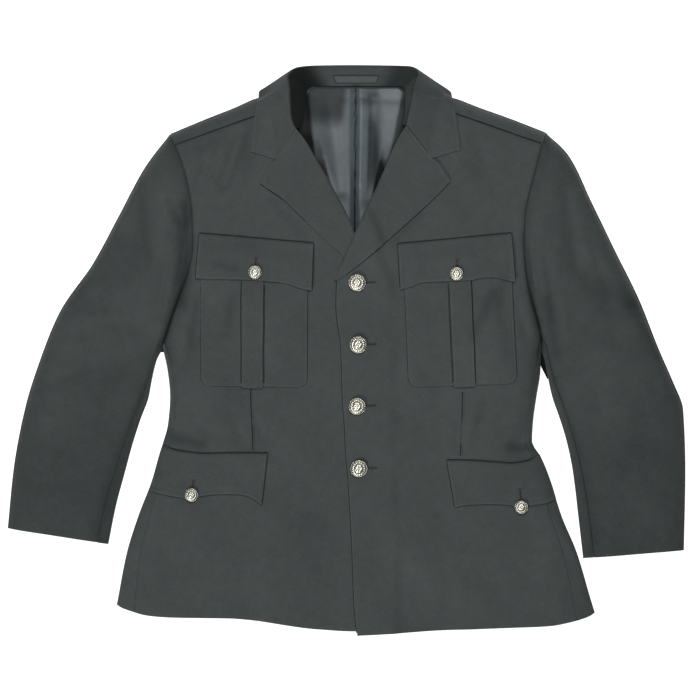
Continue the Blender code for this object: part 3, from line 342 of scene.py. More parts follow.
# Closed folds of the outline, each run with the cloth at its left hand.
OUTLINE = [
    side_line(1)[::-1],
    side_line(2),
    dense(SHOULDER_RIGHT),
    dense(SHOULDER_LEFT)[::-1],
    dense(SLEEVE_OUTER_RIGHT)[::-1],
    dense(SLEEVE_OUTER_LEFT),
    dense(SLEEVE_INNER_RIGHT),
    dense(SLEEVE_INNER_LEFT)[::-1],
]
SEGMENT_START = np.concatenate([line[:-1] for line in OUTLINE])
SEGMENT_RUN = np.concatenate([np.diff(line, axis=0) for line in OUTLINE])
NEAR_EDGE = 0.25


def edge_distance(x, y):
    """Distance to the nearest closed fold, and the way in from it."""
    place = np.stack([x, y], axis=-1).reshape(-1, 1, 2)
    run = SEGMENT_RUN[None]
    part = ((place - SEGMENT_START) * run).sum(-1) / (run * run).sum(-1)
    nearest = SEGMENT_START + np.clip(part, 0, 1)[..., None] * run
    away = place - nearest
    distance = np.linalg.norm(away, axis=-1)
    least = distance.min(axis=1)
    inward = np.stack([-run[..., 1], run[..., 0]], axis=-1)
    inward = inward / np.linalg.norm(inward, axis=-1, keepdims=True)
    close = distance < (least + 0.05)[:, None]
    on_edge = (inward * close[..., None]).sum(1)
    pick = away[np.arange(len(least)), distance.argmin(axis=1)]
    way = np.where((least < NEAR_EDGE)[:, None], on_edge, pick)
    way = way / np.maximum(np.linalg.norm(way, axis=-1, keepdims=True), 1e-9)
    return least.reshape(np.shape(x)), way[:, 0].reshape(np.shape(x)), way[:, 1].reshape(np.shape(x))


# %% [markdown]
# ## Small creases
#
# Worsted wool that has been worn keeps shallow creases, and lying down it settles in long,
# uneven waves. Each crease is a bell across a short line. The waves are a sum of a few slanted
# sines, and both fade where a fold of the outline turns the cloth under.

# %% Creases and waves
CREASES = [
    # name, start, end, half width, depth
    ("right chest, long", (-120, 262), (-150, 190), 6.0, -1.7),
    ("right chest, short", (-168, 262), (-176, 232), 5.0, -1.5),
    ("left chest, long", (178, 262), (196, 205), 7.0, -1.5),
    ("left chest, short", (150, 285), (158, 246), 5.0, -0.9),
    ("right armhole, front", (-192, 70), (-200, 10), 7.0, -1.7),
    ("left armhole, front", (226, 66), (238, 12), 6.0, -1.7),
    ("right sleeve, middle", (-300, 150), (-322, 92), 8.0, -1.9),
    ("right sleeve, inner", (-236, 118), (-248, 48), 7.0, -2.3),
    ("right sleeve, elbow ridge", (-300, 48), (-372, 40), 10.0, 1.9),
    ("right sleeve, low", (-330, -20), (-392, -42), 9.0, -1.7),
    ("right sleeve, wrist", (-342, -170), (-410, -178), 12.0, -1.1),
    ("left sleeve, middle", (318, 150), (338, 90), 8.0, -1.9),
    ("left sleeve, inner", (262, 120), (276, 40), 7.0, -2.3),
    ("left sleeve, elbow ridge", (316, 44), (392, 30), 10.0, 1.9),
    ("left sleeve, low", (330, -50), (404, -38), 9.0, -1.7),
    ("left sleeve, wrist", (330, -190), (420, -176), 12.0, -1.1),
    ("right waist, crease", (-150, -82), (-136, -122), 7.0, -1.7),
    ("right waist, fine", (-98, -76), (-70, -96), 6.0, -1.1),
    ("left waist, crease", (186, -70), (172, -112), 7.0, -1.7),
    ("left waist, fine", (112, -86), (92, -112), 6.0, -1.1),
    ("front, under button 3", (34, -96), (70, -84), 8.0, -1.1),
    ("front, under button 4", (-24, -150), (-64, -170), 10.0, -1.3),
    ("right skirt, front", (-120, -232), (-132, -330), 16.0, -1.5),
    ("left skirt, front", (120, -240), (138, -340), 16.0, -1.5),
    ("left skirt, middle", (60, -236), (66, -300), 12.0, 1.1),
    ("right armhole, valley", (-205, 150), (-238, 16), 6.5, -2.6),
    ("left armhole, valley", (236, 150), (256, 18), 6.5, -2.8),
    ("right sleeve, long fold", (-262, 226), (-286, 100), 9.0, -1.8),
    ("right sleeve, long ridge", (-282, 232), (-318, 120), 12.0, 1.5),
    ("left sleeve, long fold", (286, 232), (302, 120), 10.0, -1.6),
    ("left sleeve, cloud", (330, 96), (352, 62), 20.0, -2.4),
    ("right sleeve, cloud", (-318, 78), (-340, 30), 18.0, -1.8),
    ("left chest, hollow by the armhole", (206, 70), (222, -20), 14.0, -2.4),
    ("right chest, hollow by the armhole", (-190, 60), (-206, -20), 12.0, -2.0),
]
WAVES = [
    # length of the wave, degrees from +X of its run, height, start
    (148.0, 78.0, 1.25, 0.3),
    (97.0, 24.0, 0.8, 1.7),
    (71.0, 131.0, 0.5, 4.1),
    (46.0, 58.0, 0.26, 2.2),
    (33.0, 160.0, 0.13, 5.3),
]


def bells(rows, x, y):
    """Sum of bells: depth times exp(-(distance from the line / half width) squared)."""
    total = np.zeros(np.shape(x))
    for _, start, end, half_width, depth in rows:
        run = np.subtract(end, start)
        part = np.clip(((x - start[0]) * run[0] + (y - start[1]) * run[1]) / (run @ run), 0, 1)
        away = np.hypot(x - start[0] - part * run[0], y - start[1] - part * run[1])
        total = total + depth * np.exp(-(away / half_width) ** 2)
    return total


def waves(x, y):
    """Sum of slanted sines, each bent by a slow one so that no crest runs straight."""
    total = np.zeros(np.shape(x))
    for length, degrees, height, start in WAVES:
        turn = math.radians(degrees)
        place = x * math.cos(turn) + y * math.sin(turn)
        across = y * math.cos(turn) - x * math.sin(turn)
        bend = 0.9 * np.sin(across * 2 * math.pi / (2.3 * length) + 2 * start)
        total = total + height * np.sin(place * 2 * math.pi / length + bend + start)
    return total


def fold_height(x, y):
    return bells(FOLDS + CREASES, x, y) + waves(x, y)


print("folds and creases:", len(FOLDS) + len(CREASES))

# %% [markdown]
# ## The pillow that all the cloth lies on
#
# A tunic on a table is a low pillow. Seen in section, the cloth goes from the fold at the outline
# up a quarter ellipse to its full height, and from the fold down a small quarter circle to the
# table. surface works this out for any place of the plan, with the normal from the slopes of the
# same formula, so that pieces which lie on each other are simply moved out along it.

# %% The surface
def full_height(x, y, kind):
    return hermite(column(HEIGHTS, 2 if kind == "sleeve" else 1), y)


COLLAR_LIFT = PITCH + 1.2
COLLAR_HALF = 128.0          # half the width of the collar beneath, and its middle
COLLAR_MIDDLE_X = 12.0
COLLAR_LIFT_FROM = 306.0


def back_rise(x, y):
    """The back lies on the collar's fall, so it is lifted next to the neck."""
    across = ease((COLLAR_HALF - abs(x - COLLAR_MIDDLE_X)) / 14)
    return COLLAR_LIFT * across * ease((y - COLLAR_LIFT_FROM) / 16)


def surface(x, y, side, kind="body"):
    """Outer surface and its normal at a plan place.

    Upper side: a quarter ellipse from the rim up to the full height. Under side: a
    quarter circle from the rim down to the surface that the tunic lies on.
    """
    x = np.asarray(x, dtype=float)
    y = np.asarray(y, dtype=float)
    inset, way_x, way_y = edge_distance(x, y)
    step = 1.0
    lift = back_rise(x, y)
    part = np.clip(inset / ROLL_IN, 0, 1)
    swell = np.sqrt(np.maximum(1 - (1 - part) ** 2, 1e-9))
    fade = ease(part * 3)

    def rise(px, py):
        return (full_height(px, py, kind) - RIM) * swell + fold_height(px, py) * fade

    top_z = RIM + lift * (1 - part) + rise(x, y)
    steep = (full_height(x, y, kind) - RIM) * (1 - part) / (ROLL_IN * swell)
    slope_x = steep * way_x + (rise(x + step, y) - rise(x - step, y)) / (2 * step)
    slope_y = steep * way_y + (rise(x, y + step) - rise(x, y - step)) / (2 * step)
    top_normal = np.stack([-slope_x, -slope_y, np.ones_like(x)], axis=-1)

    out = np.clip(1 - inset / RIM, 0, 1)
    drop = np.sqrt(np.maximum(1 - out ** 2, 0))
    under_z = lift + RIM * (1 - drop)
    under_normal = np.stack([-way_x * out, -way_y * out, -drop], axis=-1)

    upper = np.asarray(side) > 0
    z = np.where(upper, top_z, under_z)
    normal = np.where(upper[..., None], top_normal, under_normal)
    rim = np.stack([-way_x, -way_y, np.zeros_like(x)], axis=-1)
    normal = np.where((inset < NEAR_EDGE)[..., None], rim, normal)
    normal = normal / np.linalg.norm(normal, axis=-1, keepdims=True)
    return np.stack([x, y, z], axis=-1), normal


def grid_normals(points):
    """Normals of a grid of points, from its own two directions."""
    down = np.gradient(points, axis=0)
    across = np.gradient(points, axis=1)
    normal = np.cross(across, down)
    return normal / np.maximum(np.linalg.norm(normal, axis=-1, keepdims=True), 1e-9)


# %% [markdown]
# ## Cutting the pieces
#
# Each piece is first cut as a coarse grid of plan places, as in the CAD source. Its rows and
# columns run along its seams. A finer grid is then read between them, with closer rows where the
# cloth is pressed, sewn or turned under.

# %% Finer grids
EDGE_CUTS = (0.5, 1.1, 1.8, 2.7, 3.5, 4.3, 5.4, 6.4, 7.4, 9.0)     # next to a seam or a free edge
FOLD_CUTS = (0.17, 0.68, 1.5, 2.7, 4.2, 6.0, 9.0, 12.5)            # next to a fold of the outline


def cuts(length, spacing, start=True, end=True):
    """Places from 0 to length about one spacing apart, closer next to the ends that are asked for."""
    near = np.array([cut for cut in EDGE_CUTS if cut < length / 2 - 0.4])
    low = near[-1] if start and len(near) else 0.0
    high = length - near[-1] if end and len(near) else length
    count = max(int(round((high - low) / spacing)), 1)
    marks = [np.linspace(low, high, count + 1), [0.0, length]]
    if start:
        marks.append(near)
    if end:
        marks.append(length - near)
    return np.unique(np.round(np.concatenate(marks), 5))


def between(values, places):
    """Grid rows read at float row numbers, by the same cubic as hermite, for whole arrays."""
    values = np.asarray(values, dtype=float)
    slope = np.diff(values, axis=0)
    tangent = np.zeros_like(values)
    same_way = slope[:-1] * slope[1:] > 0
    mean = 2 * slope[:-1] * slope[1:] / np.where(same_way, slope[:-1] + slope[1:], 1.0)
    tangent[1:-1] = np.where(same_way, mean, 0.0)
    tangent[0], tangent[-1] = slope[0], slope[-1]
    index = np.clip(np.floor(places).astype(int), 0, len(slope) - 1)
    t = (np.asarray(places) - index).reshape(-1, *[1] * (values.ndim - 1))
    return ((2 * t**3 - 3 * t**2 + 1) * values[index] + (t**3 - 2 * t**2 + t) * tangent[index]
            + (3 * t**2 - 2 * t**3) * values[index + 1] + (t**3 - t**2) * tangent[index + 1])


def grid_places(plan, axis, spacing, start=True, end=True, folds=()):
    """Float row (axis 0) or column (axis 1) numbers for a finer grid of a coarse plan."""
    size = np.quantile(np.linalg.norm(np.diff(plan, axis=axis), axis=-1), 0.75, axis=1 - axis)
    run = np.concatenate([[0.0], np.cumsum(size)])
    marks = cuts(run[-1], spacing, start, end)
    near = np.concatenate([[-cut for cut in FOLD_CUTS], FOLD_CUTS])
    for fold in folds:
        marks = marks[abs(marks - run[fold]) > FOLD_CUTS[-1]]
        marks = np.concatenate([marks, run[fold] + near])
    marks = marks[(marks >= 0) & (marks <= run[-1])]
    numbers = np.interp(np.unique(marks), run, np.arange(len(run)))
    return np.unique(np.concatenate([numbers, np.array(folds, dtype=float)]))


def finer(plan, rows, columns):
    """The coarse plan read at float row and column numbers."""
    fine = between(plan, rows)
    return between(fine.transpose(1, 0, 2), columns).transpose(1, 0, 2)


def to_outline(plan):
    """The places moved onto the nearest point of the outline's folds."""
    place = plan.reshape(-1, 1, 2)
    run = SEGMENT_RUN[None]
    part = ((place - SEGMENT_START) * run).sum(-1) / (run * run).sum(-1)
    nearest = SEGMENT_START + np.clip(part, 0, 1)[..., None] * run
    pick = np.linalg.norm(place - nearest, axis=-1).argmin(axis=1)
    return nearest[np.arange(len(pick)), pick].reshape(plan.shape)


# Seam stations round the armhole, shared by the body and the sleeve.
NEAR_FOLD = (0.0, 1.2, 4.0, 9.0, 16.0)
MIDDLE_PARTS = (0.065, 0.155, 0.27, 0.39, 0.51, 0.63, 0.74, 0.84, 0.915, 0.965)
NEAR_ARMPIT = (6.0, 1.8, 0.0)
SHOULDER_SEAM = len(NEAR_FOLD) - 1


def armhole_stations(length):
    start, end = NEAR_FOLD[-1], length - NEAR_ARMPIT[0]
    middle = [start + part * (end - start) for part in MIDDLE_PARTS]
    return np.array(list(NEAR_FOLD) + middle + [length - part for part in NEAR_ARMPIT])


class Side:
    """One half of the tunic, with its tables and the way out from the middle."""

    def __init__(self, name):
        right = name == "right"
        self.name = name
        self.out = -1.0 if right else 1.0
        self.side_column = 1 if right else 2
        self.armhole = ARMHOLE_RIGHT if right else ARMHOLE_LEFT
        self.shoulder = SHOULDER_RIGHT if right else SHOULDER_LEFT
        self.neck = np.array(NECK_RIGHT if right else NECK_LEFT, dtype=float)
        self.inner = INNER_RIGHT if right else INNER_LEFT
        self.hem = HEM_RIGHT if right else HEM_LEFT
        self.sleeve_outer = SLEEVE_OUTER_RIGHT if right else SLEEVE_OUTER_LEFT
        self.sleeve_inner = SLEEVE_INNER_RIGHT if right else SLEEVE_INNER_LEFT
        length = run_length(dense(self.armhole, 400))[-1]
        self.stations = armhole_stations(length)
        self.armhole_points = along(self.armhole, self.stations / length)

    def side_x(self, y):
        return hermite(column(SIDES, self.side_column), y)

    def hem_shift(self, x, row, hem):
        fade = ease(1 - (row - HEM_LEVEL) / HEM_FADE)
        return (hermite(hem, x) - HEM_LEVEL) * fade

    def side_point(self, row, hem):
        y = float(row)
        for _ in range(3):
            x = float(self.side_x(y))
            y = row + float(self.hem_shift(x, row, hem))
        return np.array([self.side_x(y), y])

    def seam_inset(self, y):
        return hermite(SIDE_SEAM, y)

    def shift_armhole(self, amount):
        """Armhole points moved towards the sleeve (plus) or the body (minus)."""
        run = np.gradient(self.armhole_points, axis=0)
        away = np.stack([-run[:, 1], run[:, 0]], axis=-1)
        away /= np.linalg.norm(away, axis=-1, keepdims=True)
        at_armpit = ease(1 - (self.stations[-1] - self.stations) / 16)[:, None]
        at_shoulder = ease(1 - self.stations / 4)[:, None]
        return self.armhole_points + away * amount * (1 + 8 * at_armpit + at_shoulder) * self.out


RIGHT, LEFT = Side("right"), Side("left")
print("armhole seams:", [round(float(half.stations[-1])) for half in (RIGHT, LEFT)], "mm")

# %% [markdown]
# ## From a grid of points to a wall of cloth
#
# A piece of cloth is a grid of points on its outer face, the normals there and a thickness. The
# inner face is the outer one moved in, and a rim closes every free edge. Each corner also keeps
# its place on the flat cloth, in metres, so that the weave runs along the piece, and a painted
# shade that its colour is multiplied by. A seam is painted a little darker than the cloth beside
# it, as the shade in its dip would make it.

# %% Walls of cloth
THIN = WALL - 0.1
EDGE_ROUND = 0.45


def wall_faces(rows, columns, cells):
    """Corner numbers of both faces of a wall, and of the rim round its free edges."""
    number = np.arange(rows * columns).reshape(rows, columns)
    quads = np.stack([number[:-1, :-1], number[:-1, 1:], number[1:, 1:], number[1:, :-1]], axis=-1)[cells]
    edges = np.concatenate([quads[:, [k, (k + 1) % 4]] for k in range(4)])
    size = rows * columns
    free = edges[~np.isin(edges[:, 0] * size + edges[:, 1], edges[:, 1] * size + edges[:, 0])]
    rim = np.stack([free[:, 1], free[:, 0], size + free[:, 0], size + free[:, 1]], axis=-1)
    return np.concatenate([quads, size + quads[:, ::-1], rim])


def make_mesh(name, corners, faces, material, uv=None, shade=None):
    """A smooth mesh piece from corners in millimetres."""
    mesh = bpy.data.meshes.new(name)
    mesh.from_pydata((corners * MM).tolist(), [], faces.tolist())
    mesh.shade_smooth()
    mesh.materials.append(material)
    if uv is not None:
        layer = mesh.uv_layers.new(name="cloth")
        at = np.zeros(len(mesh.loops), dtype=np.int32)
        mesh.loops.foreach_get("vertex_index", at)
        layer.data.foreach_set("uv", (uv[at] * MM).astype(np.float32).ravel())
    if shade is not None:
        mesh.attributes.new("shade", "FLOAT", "POINT").data.foreach_set("value", shade.astype(np.float32))
    piece = bpy.data.objects.new(name, mesh)
    bpy.context.scene.collection.objects.link(piece)
    return piece


def volume_sign(corners, faces):
    a, b, c, d = (corners[faces[:, k]] for k in range(4))
    return np.sign((a * np.cross(b, c)).sum() + (a * np.cross(c, d)).sum())


PAINTED_SHADE_AND_LIGHT = [
    # name, start, end, half width, change: painted shade and painted light, where the soft folds of the wool look
    # darker or lighter under the lamps
    ("left sleeve, outer dip", (338, 84), (372, 62), 16.0, -0.26),
    ("left sleeve, outer edge", (372, 60), (412, -8), 9.0, -0.2),
    ("left sleeve, upper light", (296, 200), (316, 120), 14.0, 0.1),
    ("left sleeve, beside the armhole", (262, 66), (276, -4), 8.0, -0.25),
    ("left sleeve, lower light", (330, -20), (350, -110), 22.0, 0.08),
    ("right sleeve, beside the armhole", (-213, 190), (-216, 60), 9.0, -0.32),
    ("right sleeve, ridge", (-240, 200), (-246, 110), 9.0, 0.1),
    ("right sleeve, long shade", (-272, 220), (-262, 120), 7.0, -0.14),
    ("right sleeve, outer shade", (-330, 130), (-372, 60), 12.0, -0.14),
    ("right sleeve, elbow", (-300, -30), (-322, -60), 16.0, -0.14),
    ("right sleeve, forearm light", (-372, 20), (-392, -90), 18.0, 0.08),
    ("right waist, over the flap", (-236, -112), (-192, -124), 9.0, -0.28),
    ("left waist, over the flap", (246, -128), (214, -130), 7.0, -0.28),
    ("right chest, outside the pocket", (-196, 70), (-206, -10), 8.0, -0.14),
    ("right flap, beside the button", (-170, 112), (-146, 106), 7.0, -0.14),
    ("right pocket, beside the pleat", (-150, 66), (-158, 20), 8.0, -0.16),
    ("right pocket, light", (-104, 40), (-98, -20), 9.0, 0.08),
    ("left pocket, beside the pleat", (192, 74), (166, 22), 7.0, -0.2),
    ("left pocket, under the flap", (208, 92), (200, 60), 6.0, -0.14),
    ("left pocket, low corner", (96, -30), (112, -48), 9.0, -0.12),
    ("beside the right collar", (-128, 290), (-134, 240), 12.0, -0.14),
    ("beside the left collar", (162, 280), (170, 230), 10.0, -0.12),
    ("right shoulder", (-190, 262), (-160, 276), 10.0, -0.12),
    ("under the left lapel", (60, 140), (96, 176), 6.0, -0.16),
    ("under the right lapel", (-96, 196), (-60, 150), 6.0, -0.1),
    ("left front, skirt light", (60, -240), (90, -330), 26.0, 0.07),
    ("right front, skirt shade", (-40, -220), (-30, -320), 22.0, -0.07),
]


def shell(name, outer, normal, thickness, material, node, uv=None, shade=None, cells=None):
    """A closed wall of cloth that takes the place of one CAD node."""
    rows, columns = outer.shape[:2]
    if cells is None:
        cells = np.ones((rows - 1, columns - 1), dtype=bool)
    if uv is None:
        across = np.concatenate([np.zeros((rows, 1)), np.cumsum(np.linalg.norm(np.diff(outer, axis=1), axis=-1), axis=1)], axis=1)
        down = np.concatenate([np.zeros((1, columns)), np.cumsum(np.linalg.norm(np.diff(outer, axis=0), axis=-1), axis=0)])
        uv = np.stack([across, down], axis=-1)
    if shade is None:
        shade = np.ones((rows, columns))
    # Wool gets the painted shade and painted light of its soft folds from the table above.
    if material is WOOL:
        shade = shade * (1 + bells(PAINTED_SHADE_AND_LIGHT, outer[..., 0], outer[..., 1]))
    faces = wall_faces(rows, columns, cells)
    corners = np.concatenate([outer.reshape(-1, 3), (outer - normal * thickness).reshape(-1, 3)])
    used, faces = np.unique(faces, return_inverse=True)
    faces = faces.reshape(-1, 4)
    corners = corners[used]
    if volume_sign(corners, faces) < 0:
        faces = faces[:, ::-1]
    uv = np.concatenate([uv.reshape(-1, 2)] * 2)[used]
    shade = np.concatenate([shade.ravel()] * 2)[used]
    piece = make_mesh(name, corners, faces, material, uv, shade)
    bevel = piece.modifiers.new("edge", "BEVEL")
    bevel.width = min(EDGE_ROUND, thickness * 0.4) * MM
    bevel.segments = 2
    bevel.limit_method = "ANGLE"
    bevel.angle_limit = math.radians(55)
    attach(piece, "root")
    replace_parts(piece, node)
    return piece


def side_runs(points):
    """Distance along the cloth from each of a grid's four sides."""
    across = np.concatenate([np.zeros((len(points), 1)), np.cumsum(np.linalg.norm(np.diff(points, axis=1), axis=-1), axis=1)], axis=1)
    down = np.concatenate([np.zeros((1, points.shape[1])), np.cumsum(np.linalg.norm(np.diff(points, axis=0), axis=-1), axis=0)])
    return {"low": down, "high": down[-1:] - down, "first": across, "last": across[:, -1:] - across}


def seam_relief(distance):
    """A seam pulls the cloth in: a narrow dip, with a soft swell next to it."""
    return -0.5 * np.exp(-(distance / 1.7) ** 2) + 0.22 * np.exp(-((distance - 6) / 4) ** 2)


def edge_relief(distance, stitch=4.0):
    """A pressed edge that is stitched: the stitches sink in a shallow channel."""
    return -0.3 * np.exp(-(distance / 1.0) ** 2) - 0.38 * np.exp(-((distance - stitch) / 0.95) ** 2)


def dress(runs, seams=(), edges=(), stitch=4.0):
    """Relief and painted shade of a grid whose sides named in seams are sewn and in edges are pressed: the seams are
    painted darker, as shade, and the pressed edges a little lighter, as a highlight.
    """
    relief = np.zeros_like(runs["low"])
    shade = np.ones_like(relief)
    for side in seams:
        relief = relief + seam_relief(runs[side])
        shade = shade * (1 - 0.22 * np.exp(-(runs[side] / 1.5) ** 2))
    for side in edges:
        relief = relief + edge_relief(runs[side], stitch)
        shade = shade * (1 + 0.08 * np.exp(-((runs[side] - 1.5) / 1.4) ** 2))
    return relief, shade


print("wall of", THIN, "mm")

# %% [markdown]
# ## Materials
#
# Serge is a twill: fine slanted ribs less than a millimetre apart. From this height they only make
# the cloth look soft, so the ribs are in the bump, and the colour gets a fine grain and a broad,
# very slight cloudiness. The painted shade that each corner keeps is multiplied into the colour
# and into the gloss.

# %% Materials
def node_of(tree, kind, **values):
    made = tree.nodes.new(kind)
    for name, value in values.items():
        if name in made.inputs:
            made.inputs[name].default_value = value
        else:
            setattr(made, name, value)
    return made


def noise(tree, vector, scale, detail):
    made = node_of(tree, "ShaderNodeTexNoise", Scale=scale, Detail=detail)
    tree.links.new(vector, made.inputs["Vector"])
    return made.outputs["Fac"]


def math_node(tree, operation, first, second):
    made = tree.nodes.new("ShaderNodeMath")
    made.operation = operation
    for socket, value in zip(made.inputs, (first, second)):
        if isinstance(value, (int, float)):
            socket.default_value = value
        else:
            tree.links.new(value, socket)
    return made.outputs["Value"]


def cloth_material(name, colour, roughness, gloss, sheen, ribs, grain, bump):
    """Cloth whose colour is grain, cloud and the corner's painted shade times one colour.

    part = (0.96 + grain (fine - 0.5) + 0.5 (cloud - 0.5) + 0.5 (fleck - 0.5) + 0.08 rib) shade, and
    the gloss is gloss times shade, where shade is the corner's painted shade.
    """
    material = plain(name, (*colour, 1.0), roughness)
    tree = material.node_tree
    shader = tree.nodes["Principled BSDF"]
    set_socket(shader, "Sheen Weight", sheen)
    set_socket(shader, "Sheen Roughness", 0.5)
    place = tree.nodes.new("ShaderNodeTexCoord").outputs["Object"]
    flat = node_of(tree, "ShaderNodeUVMap", uv_map="cloth").outputs["UV"]
    rib = node_of(tree, "ShaderNodeTexWave", Scale=ribs, Distortion=1.2)
    rib.bands_direction = "DIAGONAL"
    tree.links.new(flat, rib.inputs["Vector"])
    fine = noise(tree, place, 620.0, 3.0)
    cloud = noise(tree, place, 9.0, 2.0)
    fleck = noise(tree, place, 85.0, 2.0)
    shade = node_of(tree, "ShaderNodeAttribute", attribute_name="shade").outputs["Fac"]
    part = math_node(tree, "MULTIPLY", math_node(tree, "SUBTRACT", fine, 0.5), grain)
    part = math_node(tree, "ADD", part, math_node(tree, "MULTIPLY", math_node(tree, "SUBTRACT", cloud, 0.5), 0.5))
    part = math_node(tree, "ADD", part, math_node(tree, "MULTIPLY", math_node(tree, "SUBTRACT", fleck, 0.5), 0.5))
    part = math_node(tree, "ADD", part, math_node(tree, "MULTIPLY", rib.outputs["Fac"], 0.08))
    part = math_node(tree, "MULTIPLY", math_node(tree, "ADD", part, 0.96), shade)
    tint = node_of(tree, "ShaderNodeVectorMath", operation="SCALE")
    tint.inputs[0].default_value = colour
    tree.links.new(part, tint.inputs["Scale"])
    tree.links.new(tint.outputs["Vector"], shader.inputs["Base Color"])
    tree.links.new(math_node(tree, "MULTIPLY", shade, gloss), shader.inputs["Specular IOR Level"])
    height = math_node(tree, "ADD", math_node(tree, "MULTIPLY", rib.outputs["Fac"], 0.6), fine)
    relief = node_of(tree, "ShaderNodeBump", Strength=bump, Distance=0.00025)
    tree.links.new(height, relief.inputs["Height"])
    tree.links.new(relief.outputs["Normal"], shader.inputs["Normal"])
    return material


def shaded_metal(name, colour, roughness):
    """Metal that is darker where the painted shade of its corners is lower."""
    material = plain(name, (*colour, 1.0), roughness)
    tree = material.node_tree
    shader = tree.nodes["Principled BSDF"]
    set_socket(shader, "Metallic", 1.0)
    shade = node_of(tree, "ShaderNodeAttribute", attribute_name="shade").outputs["Fac"]
    tint = node_of(tree, "ShaderNodeVectorMath", operation="SCALE")
    tint.inputs[0].default_value = colour
    tree.links.new(shade, tint.inputs["Scale"])
    tree.links.new(tint.outputs["Vector"], shader.inputs["Base Color"])
    return material


WOOL = cloth_material("wool_serge", (0.0222, 0.0282, 0.0275), 0.8, 0.5, 0.05, 555.0, 1.2, 0.6)
SATIN = cloth_material("lining_satin", (0.046, 0.058, 0.063), 0.4, 0.3, 0.0, 1400.0, 0.5, 0.15)
METAL = shaded_metal("button_alloy", (0.66, 0.645, 0.55), 0.34)
THREAD = plain("thread", (0.045, 0.052, 0.052, 1.0), 0.6)
DARK_THREAD = plain("dark_thread", (0.022, 0.026, 0.026, 1.0), 0.6)
# Near black, painted as shadow: in the buttonholes' slits and beside the edges of pieces that lie on other cloth.
SHADOW_BLACK = plain("slit", (0.006, 0.007, 0.007, 1.0), 0.9)
print("materials:", len(bpy.data.materials))

# %% [markdown]
# ## The back
#
# One panel lies on the table, and is turned up at the side folds and over the shoulders, where it
# meets the fronts in a seam. Only those strips are seen from above.

# %% Back
FRONT_SPACING = 4.0
BACK_SPACING = 7.0
sheets = {}


BACK_COLUMNS = 8      # columns from each side to the neck
NECK_COLUMNS = 5


